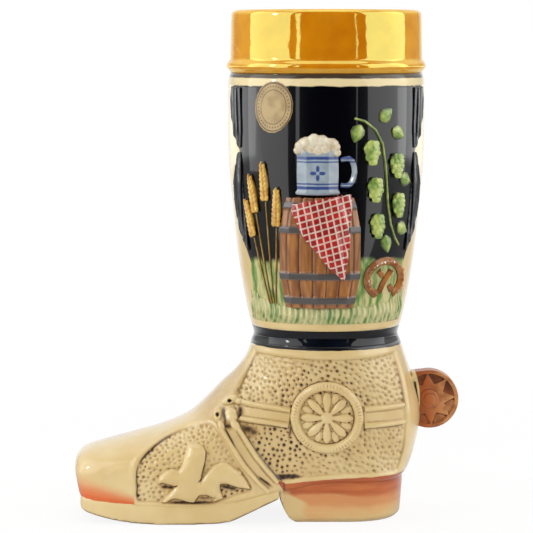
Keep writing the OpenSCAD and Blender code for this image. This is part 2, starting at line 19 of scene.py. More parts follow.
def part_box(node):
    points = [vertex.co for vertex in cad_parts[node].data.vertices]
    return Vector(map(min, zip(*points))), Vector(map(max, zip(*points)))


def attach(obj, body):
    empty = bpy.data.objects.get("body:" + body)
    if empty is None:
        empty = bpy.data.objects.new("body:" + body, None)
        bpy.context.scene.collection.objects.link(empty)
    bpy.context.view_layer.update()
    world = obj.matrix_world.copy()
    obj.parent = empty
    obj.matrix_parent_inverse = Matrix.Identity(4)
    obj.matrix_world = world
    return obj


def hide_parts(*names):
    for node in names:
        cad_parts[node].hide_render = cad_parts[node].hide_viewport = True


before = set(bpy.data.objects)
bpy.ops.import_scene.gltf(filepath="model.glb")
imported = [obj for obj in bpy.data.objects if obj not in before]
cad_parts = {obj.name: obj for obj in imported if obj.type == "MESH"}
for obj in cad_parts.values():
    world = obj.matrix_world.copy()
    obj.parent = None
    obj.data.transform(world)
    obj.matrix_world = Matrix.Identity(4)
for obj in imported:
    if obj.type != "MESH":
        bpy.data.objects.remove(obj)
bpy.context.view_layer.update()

MM = 0.001

# %% [markdown]
# ## The camera
#
# The boot was photographed square from its side with a long lens, a little from above. A long lens is a
# small angle of view, so the camera stands over a metre away. Its lens is worked out from the focal
# length in pixels of a square picture.

# %% Camera
PICTURE_PIXELS = 533
FOCAL_PIXELS = 2400
SENSOR_MM = 36
EYE = Vector((-28.5, -1150, 229)) * MM
LOOKS_DOWN = math.radians(5.4)

bpy.ops.object.camera_add(location=EYE, rotation=(math.pi / 2 - LOOKS_DOWN, 0, 0))
camera = bpy.context.object
camera.data.sensor_width = SENSOR_MM
camera.data.lens = SENSOR_MM * FOCAL_PIXELS / PICTURE_PIXELS
bpy.context.scene.camera = camera
bpy.context.scene.view_settings.view_transform = "Standard"
print("camera:", round(camera.data.lens), "mm lens")

# %% [markdown]
# ## Shader maths that reads as Python
#
# A glaze is mostly arithmetic on places and noise. Wiring that up by hand takes dozens of nodes, so one
# small class holds an output socket and overloads the operators: adding two of them adds a Math node.
# Every other node comes from its `node` method, which sets a node's own settings first and its sockets
# after.

# %% The class that wraps a socket
class Flow:
    """A value that flows out of a node."""

    def __init__(self, tree, socket=None):
        self.tree = tree
        self.socket = socket

    def node(self, kind, settings=None, sockets=None, out=0):
        made = self.tree.nodes.new(kind)
        for key, value in (settings or {}).items():
            if key == "stops":
                self.set_stops(made.color_ramp, value)
            else:
                setattr(made, key, value)
        for key, value in (sockets or {}).items():
            if isinstance(value, Flow):
                self.tree.links.new(value.socket, made.inputs[key])
            else:
                made.inputs[key].default_value = value
        return Flow(self.tree, made.outputs[out])

    def set_stops(self, ramp, stops):
        while len(ramp.elements) < len(stops):
            ramp.elements.new(1.0)
        for element, (place, grey) in zip(ramp.elements, stops):
            element.position = place
            element.color = (grey, grey, grey, 1.0)

    def maths(self, operation, first, second=0.0):
        return self.node("ShaderNodeMath", {"operation": operation}, {0: first, 1: second})

    def __add__(self, other):
        return self.maths("ADD", self, other)

    def __sub__(self, other):
        return self.maths("SUBTRACT", self, other)

    def __rsub__(self, other):
        return self.maths("SUBTRACT", other, self)

    def __mul__(self, other):
        return self.maths("MULTIPLY", self, other)

    def __truediv__(self, other):
        return self.maths("DIVIDE", self, other)

    def __pow__(self, other):
        return self.maths("POWER", self, other)

    def __abs__(self):
        return self.maths("ABSOLUTE", self)

    def __or__(self, other):
        return self.maths("MAXIMUM", self, other)

    __radd__ = __add__
    __rmul__ = __mul__

    def rise(self, low, high):
        """0 below low, 1 above high, and a soft step between."""
        sockets = {"Value": self, "From Min": low, "From Max": high}
        return self.node("ShaderNodeMapRange", {"interpolation_type": "SMOOTHSTEP"}, sockets)

    def mix(self, first, second):
        """A colour that goes from first to second as this value goes from 0 to 1."""
        ends = [c if isinstance(c, Flow) else (*c, 1.0) for c in (first, second)]
        return self.node("ShaderNodeMix", {"data_type": "RGBA"}, {0: self, 6: ends[0], 7: ends[1]}, out=2)


def cloud(place, size, detail=3.0, stretch=(1, 1, 1)):
    """Noise with lumps of a size in metres, longer along an axis whose stretch is below 1."""
    moved = place.node("ShaderNodeMapping", None, {"Vector": place, "Scale": stretch})
    sockets = {"Vector": moved, "Scale": 1 / size, "Detail": detail}
    return place.node("ShaderNodeTexNoise", None, sockets)


def uneven(place, size, depth, detail=2):
    """A normal for a surface with lumps of a size and a depth in metres."""
    sockets = {"Height": cloud(place, size, detail), "Distance": depth}
    return place.node("ShaderNodeBump", None, sockets, out="Normal")


def place_of(flow):
    return flow.node("ShaderNodeTexCoord", out="Object")


def along(place, axis):
    return place.node("ShaderNodeSeparateXYZ", None, {0: place}, out=axis)


def mm_along(place, axes):
    """A place's coordinates along some axes, in millimetres."""
    return [along(place, axis) * (1 / MM) for axis in axes]


def number(flow, name):
    """A number that a piece stores on its points."""
    return flow.node("ShaderNodeAttribute", {"attribute_name": name}, out="Fac")


def new_finish(name, paint, **plain):
    """A material. Plain holds the sockets that are the same all over, paint makes those that vary."""
    material = bpy.data.materials.new(name)
    material.use_nodes = True
    tree = material.node_tree
    shader = tree.nodes["Principled BSDF"]
    for socket, value in plain.items():
        shader.inputs[socket.replace("_", " ")].default_value = value
    for socket, value in paint(Flow(tree)).items():
        tree.links.new(value.socket, shader.inputs[socket])
    return material


print("shader helpers ready")

# %% [markdown]
# ## The studio
#
# Glossy glaze shows the room. The picture has two tall softboxes, one on each side, that lie on the leg
# as two grey windows with a dark stripe between them, and thin light strips just inside of them. A wide
# lamp from above lights the shoe, a small bright one on the left sets sparks on slopes that face it,
# and a front lamp that mirrors don't see fills in the colours. The floor and the world look white to
# the camera. In the glaze they are white only far off and straight behind the boot, where its outline
# mirrors them. To the sides and in front they stay dim, or a pale veil would lie over the dark glazes.

# %% Floor and world
FLOOR_BEHIND = 30.0
FLOOR_BEFORE = 0.25
FLOOR_WHITE = (0.93, 0.93, 0.93, 1.0)
FLOOR_SHADOW_SHARE = 0.12
SHADOW_REACH = 0.45
MIRRORED_FRONT = 0.3
MIRRORED_SIDE = 0.3
MIRRORED_BEHIND = 0.95
BEHIND = (0.3, 0.75)
FAR_FLOOR = (1.5, 2.2)
MIRRORED_FAR = 1.9
ROOM_FRONT = 0.012
FLOOR_DROP = 0.05 * MM
ASIDE_SOFT = 0.25
ASIDE_SOFT_SKY = 0.01

bpy.ops.object.select_all(action="DESELECT")
bpy.ops.mesh.primitive_plane_add(size=2, location=(0, (FLOOR_BEHIND - FLOOR_BEFORE) / 2, -FLOOR_DROP))
floor = bpy.context.object
floor.name = "floor"
floor.scale = (FLOOR_BEHIND, (FLOOR_BEHIND + FLOOR_BEFORE) / 2, 1)
bpy.ops.object.transform_apply(location=True, rotation=True, scale=True)


def seen_directly(flow):
    """1 for the camera's own rays and for what shows in mirrors and glass."""
    rays = [flow.node("ShaderNodeLightPath", out=ray)
            for ray in ("Is Camera Ray", "Is Glossy Ray", "Is Transmission Ray")]
    return rays[0] | rays[1] | rays[2]


def floor_finish():
    material = bpy.data.materials.new("pale_floor")
    material.use_nodes = True
    flow = Flow(material.node_tree)
    paper = flow.node("ShaderNodeBsdfDiffuse", None, {"Color": FLOOR_WHITE})
    mirrored = flow.node("ShaderNodeLightPath", out="Is Glossy Ray")
    place = place_of(flow)
    x, y = along(place, "X"), along(place, "Y")
    away = (x * x + y * y) ** 0.5
    near_boot = 1 - away.rise(SHADOW_REACH / 3, SHADOW_REACH)
    aside = (abs(x) / (abs(y) + ASIDE_SOFT)).rise(*BEHIND)
    to_side = MIRRORED_SIDE + (MIRRORED_FAR - MIRRORED_SIDE) * away.rise(*FAR_FLOOR)
    rear = MIRRORED_BEHIND + (to_side - MIRRORED_BEHIND) * aside
    in_mirror = MIRRORED_FRONT + (rear - MIRRORED_FRONT) * y.rise(-0.05, 0.15)
    white = flow.node("ShaderNodeEmission", None, {"Strength": 1 + (in_mirror - 1) * mirrored})
    share = seen_directly(flow) * (1 - FLOOR_SHADOW_SHARE * near_boot)
    both = flow.node("ShaderNodeMixShader", None, {0: share, 1: paper, 2: white})
    material.node_tree.links.new(both.socket, material.node_tree.nodes["Material Output"].inputs[0])
    return material


floor.data.materials.append(floor_finish())

world = bpy.data.worlds.new("studio")
world.use_nodes = True
bpy.context.scene.world = world
sky = Flow(world.node_tree)
direction = sky.node("ShaderNodeTexCoord", out="Generated")
to_side, to_back, to_top = (along(direction, axis) for axis in "XYZ")
behind = (1 - (abs(to_side) / (abs(to_back) + ASIDE_SOFT_SKY)).rise(*BEHIND)) | to_top.rise(0.0, 0.5)
wall = MIRRORED_SIDE + (MIRRORED_BEHIND - MIRRORED_SIDE) * behind
room = ROOM_FRONT + (wall - ROOM_FRONT) * to_back.rise(-0.25, 0.35)
camera_ray = sky.node("ShaderNodeLightPath", out="Is Camera Ray")
background = world.node_tree.nodes["Background"]
background.inputs["Color"].default_value = (1, 1, 1, 1)
world.node_tree.links.new((camera_ray | room).socket, background.inputs["Strength"])
print("floor and world ready")

# %% Lamps
LAMPS_FACE = Vector((0, 0, 0.12))


def lamp(name, bearing, distance, height, width, tall, radiance, mirrors=True):
    """A softbox that faces the boot. Its bearing is taken from the camera's side, positive to the right."""
    turn = math.radians(bearing)
    spot = Vector((distance * math.sin(turn), -distance * math.cos(turn), height))
    bpy.ops.object.light_add(type="AREA", location=spot)
    made = bpy.context.object
    made.name = name
    made.rotation_euler = (LAMPS_FACE - spot).to_track_quat("-Z", "Y").to_euler()
    made.data.shape = "RECTANGLE"
    made.data.size = width
    made.data.size_y = tall
    made.data.energy = radiance * math.pi * width * tall
    made.visible_glossy = mirrors


lamp("softbox_left", -74, 1.0, 0.35, 1.15, 1.5, 1.5)
lamp("softbox_right", 76, 1.0, 0.35, 1.15, 1.5, 1.65)
lamp("strip_left", -34, 1.3, 0.3, 0.10, 0.9, 1.6)
lamp("strip_right", 34, 1.3, 0.3, 0.03, 0.9, 1.6)
lamp("overhead", 0, 0.15, 1.3, 1.2, 0.9, 1.15)
lamp("spark", -66, 1.1, 0.52, 0.10, 0.22, 15)
lamp("front_fill", 0, 1.4, 0.7, 1.0, 0.8, 3.4, mirrors=False)

# %% [markdown]
# ## Taking up a piece
#
# Every piece starts from the imported model. A few helpers do what one does by hand: select one piece
# alone, copy it with its loose triangles merged, apply a modifier, read and write its points, and at the
# end give it its finish and its body and hide the imported piece that it stands for.

# %% Helpers for pieces
MERGE_GAP = 0.002 * MM


def take_up(piece):
    bpy.ops.object.select_all(action="DESELECT")
    piece.select_set(True)
    bpy.context.view_layer.objects.active = piece


def edit_all(piece):
    """Edit mode with everything selected."""
    take_up(piece)
    bpy.ops.object.mode_set(mode="EDIT")
    bpy.ops.mesh.select_all(action="SELECT")


def bench_copy(node):
    """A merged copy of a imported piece."""
    piece = bpy.data.objects.new(f"{node}_fired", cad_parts[node].data.copy())
    bpy.context.scene.collection.objects.link(piece)
    piece.data.materials.clear()
    edit_all(piece)
    bpy.ops.mesh.customdata_custom_splitnormals_clear()
    bpy.ops.mesh.remove_doubles(threshold=MERGE_GAP)
    bpy.ops.object.mode_set(mode="OBJECT")
    return piece


def apply_modifier(piece, kind, **settings):
    take_up(piece)
    modifier = piece.modifiers.new(kind.lower(), kind)
    for key, value in settings.items():
        setattr(modifier, key, value)
    bpy.ops.object.modifier_apply(modifier=modifier.name)


def points_of(piece):
    flat = np.empty(len(piece.data.vertices) * 3, np.float32)
    piece.data.vertices.foreach_get("co", flat)
    return flat.reshape(-1, 3).astype(float)


def normals_of(piece):
    flat = np.empty(len(piece.data.vertices) * 3, np.float32)
    piece.data.vertex_normals.foreach_get("vector", flat)
    return flat.reshape(-1, 3).astype(float)


def set_points(piece, points):
    piece.data.vertices.foreach_set("co", points.astype(np.float32).ravel())
    piece.data.update()


def keep_number(piece, name, values):
    """Store one number on each point, for the glaze to read."""
    attribute = piece.data.attributes.new(name, "FLOAT", "POINT")
    attribute.data.foreach_set("value", np.asarray(values, np.float32))


def soft_step(value, low, high):
    """0 below low, 1 above high, and a soft step between."""
    t = np.clip((value - low) / (high - low), 0, 1)
    return t * t * (3 - 2 * t)


def hand_in(piece, node, slot, *finishes):
    for finish in finishes:
        piece.data.materials.append(finish)
    take_up(piece)
    bpy.ops.object.shade_smooth()
    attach(piece, "root")
    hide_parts(node)
    piece.data.calc_loop_triangles()
    print(piece.name, len(piece.data.loop_triangles), "triangles")


print("bench ready")

# %% [markdown]
# ## Clear gloss and cream slip
#
# The whole boot is covered in a clear, hard gloss glaze. The Principled shader's coat is that layer: a thin
# smooth film over a duller body. The cream body has a thin brown wash that was brushed on and wiped off
# again, so it stays only in the hollows. Each piece stores how hollow its points are, and the shader mixes
# the wash by that number, broken up by noise as a wiped colour is. The sole, the heel and the shoe beside
# its sprigs also store painted shade in that number, so the same tan and dark brown paint shade there.

# %% Cream stoneware
GLOSS = {"Roughness": 0.34, "Coat_Weight": 1.0, "Coat_Roughness": 0.05}
CREAM = (0.68, 0.495, 0.215)
CREAM_PALE = (0.75, 0.58, 0.285)
WASH_AND_SHADE_TAN = (0.42, 0.24, 0.075)
WASH_AND_SHADE_DARK = (0.045, 0.019, 0.006)


def cream_with_wash_and_shade(flow, place):
    """The cream body's colour, with the wash in its hollows and the painted shade that some pieces store.
    """
    body = cloud(place, 22 * MM, 4).rise(0.3, 0.7).mix(CREAM, CREAM_PALE)
    wash_and_shade_amount = number(flow, "wash")
    patchy = wash_and_shade_amount * (0.5 + 0.6 * cloud(place, 6 * MM, 4) + 0.4 * cloud(place, 1.6 * MM, 2))
    film_and_shade = patchy.rise(0.05, 0.6) * 0.75
    pool_and_shade = patchy.rise(0.45, 0.95)
    return pool_and_shade.mix(film_and_shade.mix(body, WASH_AND_SHADE_TAN), WASH_AND_SHADE_DARK)


def stoneware(name, overpaint=None):
    def paint(flow):
        place = place_of(flow)
        colour = cream_with_wash_and_shade(flow, place)
        if overpaint:
            colour = overpaint(place, colour)
        return {"Base Color": colour, "Normal": uneven(place, 5 * MM, 0.08 * MM)}
    return new_finish(name, paint, **GLOSS)


def plain_glaze(name, colour, deeper, size, **plain):
    """One colour that deepens in clouds, as a brushed glaze does."""
    def paint(flow):
        place = place_of(flow)
        mixed = cloud(place, size, 4).rise(0.35, 0.7).mix(colour, deeper)
        return {"Base Color": mixed, "Normal": uneven(place, 6 * MM, 0.08 * MM)}
    return new_finish(name, paint, **GLOSS, **plain)


cream_stoneware = stoneware("cream_stoneware")
inside_glaze = plain_glaze("inside_glaze", CREAM_PALE, CREAM, 30 * MM)
print("stoneware ready")

# %% [markdown]
# ## Lip, leg and ankle band
#
# These three are round, so each is half a section turned round the axis. A lathe modifier could do it,
# but spin is what one would use by hand: a circle gives as many points as the section needs, they are
# moved to their places, and the loop is spun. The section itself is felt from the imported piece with
# rays, from outside for the outer wall and from the axis for the inner one, so that it can't differ
# from it.

# %% Spin a section
ROUND_STEPS = 256
OUTSIDE = 200 * MM
RAY_SIDE = 0.01 * MM
ROUND_X = Vector((1, 0, 0))


def skin_of(piece):
    """A piece's surface, for rays and nearest points."""
    mesh = piece.data
    return BVHTree.FromPolygons([v.co for v in mesh.vertices], [p.vertices for p in mesh.polygons])


def evened(values):
    """Neighbours averaged, ends kept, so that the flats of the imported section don't show in the gloss."""
    inner = (values[:-2] + 2 * values[1:-1] + values[2:]) / 4
    return np.concatenate([values[:1], inner, values[-1:]])


def felt_section(node, spacing, rounds):
    """Points (radius, height) round a wall: up its outside and down its inside."""
    skin = skin_of(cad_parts[node])
    low, high = (corner.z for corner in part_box(node))
    heights = np.linspace(low, high, int((high - low) / spacing))
    heights[0] += MERGE_GAP
    heights[-1] -= MERGE_GAP
    outer = np.array([skin.ray_cast(Vector((OUTSIDE, RAY_SIDE, z)), -ROUND_X)[0].x for z in heights])
    inner = np.array([skin.ray_cast(Vector((0, RAY_SIDE, z)), ROUND_X)[0].x for z in heights])
    for _ in range(rounds):
        outer = evened(outer)
        inner = evened(inner)
    return [*zip(outer, heights), *zip(inner[::-1], heights[::-1])]


def turned(node, spacing, rounds):
    section = felt_section(node, spacing, rounds)
    bpy.ops.object.select_all(action="DESELECT")
    bpy.ops.mesh.primitive_circle_add(vertices=len(section), radius=MM)
    piece = bpy.context.object
    piece.name = f"{node}_fired"
    set_points(piece, np.array([(r, 0, z) for r, z in section]))
    edit_all(piece)
    bpy.ops.mesh.spin(steps=ROUND_STEPS, angle=math.tau, center=(0, 0, 0), axis=(0, 0, 1))
    bpy.ops.mesh.select_all(action="SELECT")
    bpy.ops.mesh.remove_doubles(threshold=MERGE_GAP)
    bpy.ops.mesh.normals_make_consistent(inside=False)
    bpy.ops.object.mode_set(mode="OBJECT")
    return piece


def glaze_inside(piece, top):
    """Give the faces that look at the axis, below a height, the second finish."""
    for face in piece.data.polygons:
        looks_in = face.normal.x * face.center.x + face.normal.y * face.center.y < 0
        face.material_index = int(looks_in and face.center.z < top)


print("wheel ready")

# %% [markdown]
# The lip is covered in gold lustre, a film of metal fired on over an amber glaze. It mirrors like
# metal, but the amber body shows through it, so it isn't a bare metal: a strong yellow reflection over
# an amber colour comes closer. Bright lustre is uneven, with thin spots and faint clouds.

# %% Lip with gold lustre
AMBER = (1.0, 0.35, 0.004)
AMBER_DEEP = (0.84, 0.24, 0.002)
LUSTRE_YELLOW = (0.66, 1.0, 0.27, 1.0)
GOLD_INSIDE = 5 * MM


def lustre_paint(flow):
    place = place_of(flow)
    colour = cloud(place, 12 * MM, 5).rise(0.3, 0.75).mix(AMBER, AMBER_DEEP)
    dull = 0.06 + 0.12 * cloud(place, 3 * MM, 4).rise(0.5, 0.9)
    return {"Base Color": colour, "Roughness": dull, "Normal": uneven(place, 14 * MM, 0.25 * MM, 3)}


gold_lustre = new_finish("gold_lustre", lustre_paint, IOR=3.8, Specular_Tint=LUSTRE_YELLOW,
                         Coat_Weight=0.4, Coat_Roughness=0.04)
lip = turned("lip_ring", 0.4 * MM, 2)
glaze_inside(lip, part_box("lip_ring")[1].z - GOLD_INSIDE)
hand_in(lip, "lip_ring", "gold_lustre", gold_lustre, inside_glaze)

# %% [markdown]
# The leg carries one dark panel on each side, with cream left bare along the front and back. The
# panel's edge is a curtain that swings out, comes back to a cusp and swings out again. That edge is a
# curve of the arc length from the panel's middle over the height, so a ramp on the height gives it and
# the shader compares. Green ground fills the panel's foot, brushed in upright strokes, and a brown line
# lies in the groove under the lip.

# %% Leg with its panels
PANEL_LOW = 96.6
PANEL_TOP = 207.6
EDGE_SCALE = 80.0
PANEL_EDGE = [(97, 45.5), (110, 45), (124, 43), (130, 46.5), (136, 51), (145, 55.6), (156, 57), (166, 56.2),
              (172, 54), (177, 50.4), (179, 51.6), (184, 56), (190, 59), (198, 59.8), (207, 59.6)]
GROUND_TOP = 126
GROOVE_LOW = 211.2
NAVY = (0.0004, 0.0005, 0.0020)
NAVY_THIN_AND_SHEEN = (0.005, 0.012, 0.020)
CREAM_TOP = (0.86, 0.71, 0.40)
GRASS = (0.10, 0.24, 0.035)
GRASS_PALE = (0.62, 0.56, 0.26)
GROOVE_BROWN = (0.060, 0.042, 0.026)


def leg_paint(flow):
    place = place_of(flow)
    x, y, z = mm_along(place, "XYZ")
    turn = flow.maths("ARCTAN2", x, abs(y))
    reach = abs(turn * (x * x + y * y) ** 0.5)
    wobble = (cloud(place, 8 * MM, 2) - 0.5) * 1.8
    span = PANEL_TOP - PANEL_LOW
    stops = [((height - PANEL_LOW) / span, edge / EDGE_SCALE) for height, edge in PANEL_EDGE]
    edge = flow.node("ShaderNodeValToRGB", {"stops": stops}, {0: (z - PANEL_LOW) / span}) * EDGE_SCALE
    within = edge - reach + wobble
    panel = within.rise(-0.3, 0.3) * (PANEL_TOP + wobble - z).rise(-0.3, 0.3)
    panel = panel * (z - PANEL_LOW + wobble * 0.5).rise(-0.3, 0.3)
    ground = (GROUND_TOP + cloud(place, 14 * MM, 3) * 12 - 6 - z).rise(-2, 2)
    strokes = cloud(place, 3 * MM, 4, (1, 1, 0.2))
    grass = strokes.rise(0.35, 0.65).mix(GRASS, GRASS_PALE)
    body = cloud(place, 22 * MM, 4).rise(0.3, 0.7).mix(CREAM_PALE, CREAM)
    body = z.rise(120, 190).mix(body, CREAM_TOP)
    dark = within.rise(0.2, 3.5).mix(NAVY_THIN_AND_SHEEN, NAVY)
    painted = panel.mix(body, ground.mix(dark, grass))
    colour = (z + wobble * 0.4 - GROOVE_LOW).rise(-0.3, 0.3).mix(painted, GROOVE_BROWN)
    return {"Base Color": colour, "Normal": uneven(place, 16 * MM, 0.3 * MM)}


leg_glaze = new_finish("leg_glaze", leg_paint, Specular_IOR_Level=0.15, **GLOSS)
leg = turned("leg", 1.2 * MM, 4)
glaze_inside(leg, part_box("leg")[1].z)
hand_in(leg, "leg", "navy_glaze", leg_glaze, inside_glaze)

# %% Ankle band
NAVY_CLOUD = (0.002, 0.004, 0.010)
navy_glaze = plain_glaze("navy_glaze", NAVY, NAVY_CLOUD, 12 * MM, Specular_IOR_Level=0.1)
band = turned("ankle_band", 0.4 * MM, 3)
glaze_inside(band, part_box("ankle_band")[1].z)
hand_in(band, "ankle_band", "navy_glaze", navy_glaze, inside_glaze)

# %% [markdown]
# ## Sprigs on the shoe
#
# Rosette, straps, tabs and scroll were pressed in moulds and stuck on with slip, so they have no sharp
# edge left. One could bevel every edge, but clay melts together where leaves meet, and a voxel remesh
# does just that: it makes one skin round all that overlaps. A few rounds of smoothing then take off the
# steps. Before that the backs are pushed into the shoe, so that no sprig stands off the pitted ground,
# which lies a little deeper.

# %% Press a sprig
SPRIG_VOXEL = 0.28 * MM
SPRIG_SINK = 1.0 * MM
SIDES = {"near": -1, "far": 1}
BACK_GAP = 0.12 * MM


def packed_skin(node):
    """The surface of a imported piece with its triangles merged."""
    copy = bench_copy(node)
    skin = skin_of(copy)
    bpy.data.objects.remove(copy)
    return skin


shoe_skin = packed_skin("foot")


def heights_over(skin, points):
    """How far each point stands over a surface, and the surface's normal there."""
    heights = np.empty(len(points))
    normals = np.empty((len(points), 3))
    for i, point in enumerate(points):
        spot, normal, _, _ = skin.find_nearest(Vector(point))
        heights[i] = (Vector(point) - spot).dot(normal)
        normals[i] = normal
    return heights, normals


def pushed_in(node, skin, back_gap=BACK_GAP):
    """A copy whose back is pushed into the surface that it lies on."""
    piece = bench_copy(node)
    points = points_of(piece)
    heights, normals = heights_over(skin, points)
    back = heights < back_gap
    points[back] -= SPRIG_SINK * normals[back]
    set_points(piece, points)
    return piece


def hollows(piece, rounds):
    """How far each point lies below the average of its surroundings, along its normal."""
    points = points_of(piece)
    ends = np.empty(len(piece.data.edges) * 2, np.int32)
    piece.data.edges.foreach_get("vertices", ends)
    a, b = ends.reshape(-1, 2).T
    share = np.bincount(ends, minlength=len(points))
    around = points.copy()
    for _ in range(rounds):
        for axis in range(3):
            column = around[:, axis]
            total = np.bincount(a, column[b], len(points)) + np.bincount(b, column[a], len(points))
            around[:, axis] = total / share
    return ((around - points) * normals_of(piece)).sum(1)


def melted(piece, voxel=SPRIG_VOXEL, rounds=3):
    """One soft skin round all that overlaps."""
    apply_modifier(piece, "REMESH", mode="VOXEL", voxel_size=voxel)
    apply_modifier(piece, "SMOOTH", factor=0.5, iterations=rounds)
    return piece


bpy.ops.object.select_all(action="DESELECT")
bpy.ops.mesh.primitive_ico_sphere_add(subdivisions=2, radius=1)
ball = bpy.context.object
BALL_POINTS = points_of(ball)
BALL_FACES = np.array([face.vertices for face in ball.data.polygons])
bpy.data.objects.remove(ball)


def clay_balls(name, placed):
    """One object of stretched balls. Each has a place, three half axes and a widening of its far end."""
    points = []
    faces = []
    for spot, axes, widens in placed:
        shape = BALL_POINTS.copy()
        shape[:, 1] *= 1 + widens * shape[:, 0]
        faces += (BALL_FACES + len(BALL_POINTS) * len(points)).tolist()
        points.append((spot + shape @ axes) * MM)
    mesh = bpy.data.meshes.new(name)
    mesh.from_pydata(np.concatenate(points).tolist(), [], faces)
    balls = bpy.data.objects.new(name, mesh)
    bpy.context.scene.collection.objects.link(balls)
    edit_all(balls)
    bpy.ops.mesh.normals_make_consistent(inside=False)
    bpy.ops.object.mode_set(mode="OBJECT")
    return balls


print("press ready")

# %% [markdown]
# Some sprigs get extra work. The lily is packed as a plate with a flat face, and is swollen like a
# cushion: the deeper a point lies inside the outline, the higher it stands. Petals and strap keepers
# are stretched balls that melt together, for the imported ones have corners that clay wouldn't keep. The
# rosette's ring is notched with the edge of a tool, and two of the keepers have a hole, poked in with a
# stick. Both are dents: points move in along their normals. Wash fills the dents, the hollows between
# leaves and rails, and the seam with the shoe. It was brushed on in haste, so some places have more of
# it; they are a short list of blots.

# %% Outlines on the shoe's side
LILY = [(-65.9, 39.1), (-62.5, 39.6), (-59, 38.5), (-57.2, 35), (-57.6, 30.8), (-59.8, 21.9),
        (-56.9, 25.3), (-54, 28.3), (-50, 30.1), (-46.9, 29.9), (-44.1, 27.9), (-41.1, 25.3),
        (-38.5, 21.8), (-36, 17.3), (-41.3, 17.8), (-44.6, 19), (-47.9, 20), (-50.5, 19.7),
        (-50.3, 16.2), (-49.1, 13), (-53.1, 11.6), (-54, 12.9), (-56.9, 14.4), (-60.4, 14.1),
        (-62.6, 11), (-64.9, 11), (-67, 11.5), (-71.8, 12.7), (-74.3, 11.8), (-76, 10.8), (-78.1, 10.8),
        (-77, 12.7), (-72.7, 17.8), (-72.6, 18.9), (-77.6, 20.3), (-79.5, 19.7), (-80.4, 21.4),
        (-79.1, 23.9), (-76.2, 26), (-72.9, 27.1), (-70.2, 26.4), (-68.2, 30.1), (-66.9, 36)]
CURVE_STEPS = 5


def between(p0, p1, p2, p3, f):
    """The smooth curve through four rows of numbers, at a share of the way from the second to the third."""
    return 0.5 * (2 * p1 + (p2 - p0) * f + (2 * p0 - 5 * p1 + 4 * p2 - p3) * f ** 2
                  + (3 * p1 - p0 - 3 * p2 + p3) * f ** 3)


def closed_curve(corners):
    """A smooth closed line through a few points."""
    line = np.array(corners, float)
    turned_on = [np.roll(line, shift, 0) for shift in (1, 0, -1, -2)]
    rows = [between(*turned_on, f) for f in np.arange(CURVE_STEPS) / CURVE_STEPS]
    return np.stack(rows, 1).reshape(-1, 2)


def depth_inside(points, line):
    """How far inside a closed line each point lies, negative outside."""
    nearest = np.full(len(points), np.inf)
    crossings = np.zeros(len(points), bool)
    for a, b in zip(line, np.roll(line, -1, 0)):
        step = b - a
        t = np.clip((points - a) @ step / (step @ step), 0, 1)
        nearest = np.minimum(nearest, np.linalg.norm(points - a - t[:, None] * step, axis=1))
        spans = (a[1] > points[:, 1]) != (b[1] > points[:, 1])
        rise = step[1] if step[1] else 1.0
        crossings ^= spans & (points[:, 0] < a[0] + (points[:, 1] - a[1]) / rise * step[0])
    return np.where(crossings, nearest, -nearest)


lily_line = closed_curve(LILY) * MM
print("lily:", len(lily_line), "points round its outline")

# %% Petals and keepers
ROSETTE_Z = 51.6
PETALS = 8
PETAL_WIDENS = 0.25
# The button's height over the shoe and three half sizes
BUTTON = (0.2, 3.2, 3.2, 1.5)
# Each kind's turn, counted in petals, and its distance from the middle, then the same four as the button
PETAL_KINDS = ((0, 7.4, 0.4, 5.3, 2.0, 1.9), (0.5, 9.9, 0.1, 2.9, 1.7, 1.2))
# Each row: x and height, turn of the long axis, height over the shoe, three half sizes, and widening
KEEPERS = [(-51.4, 51.6, -82, 0.7, 4.2, 2.2, 2.0, -0.1), (-49.8, 46.8, -65, 0.3, 3.0, 1.7, 1.9, 0),
           (-45.2, 52.6, 5, 0.9, 3.0, 2.7, 1.9, 0), (-44.8, 50.8, 5, 0.9, 3.0, 2.7, 1.9, 0),
           (-43.2, 47.2, -58, 0.4, 3.4, 2.1, 2.0, 0),
           (-45.6, 58.2, 18, 0.7, 4.4, 2.2, 2.0, 0.1), (-41.0, 57.8, -6, 0.2, 3.0, 1.6, 2.2, 0)]


def cos_sin(degrees):
    turn = math.radians(degrees)
    return math.cos(turn), math.sin(turn)


def side_balls(name, rows, side):
    """Balls that lie on the shoe's side."""
    placed = []
    for x, z, turn, lift, long, wide, thick, widens in rows:
        above = Vector((x * MM, side * OUTSIDE, z * MM))
        spot, out, _, _ = shoe_skin.ray_cast(above, Vector((0, -side, 0)))
        c, s = cos_sin(turn)
        across = out.cross(Vector((c, 0, s))).normalized()
        axes = np.array([long * across.cross(out), wide * across, thick * out])
        placed.append((np.array(spot / MM + lift * out), axes, widens))
    return clay_balls(name, placed)


def flower_rows():
    """A button, long petals, and short ones between them."""
    rows = [(0, ROSETTE_Z, 0, *BUTTON, 0)]
    for i in range(PETALS):
        for shift, middle, *sizes in PETAL_KINDS:
            turn = 360 * (i + shift) / PETALS
            c, s = cos_sin(turn)
            rows.append((middle * c, ROSETTE_Z + middle * s, turn, *sizes, PETAL_WIDENS))
    return rows


print("petals:", len(flower_rows()) - 1)

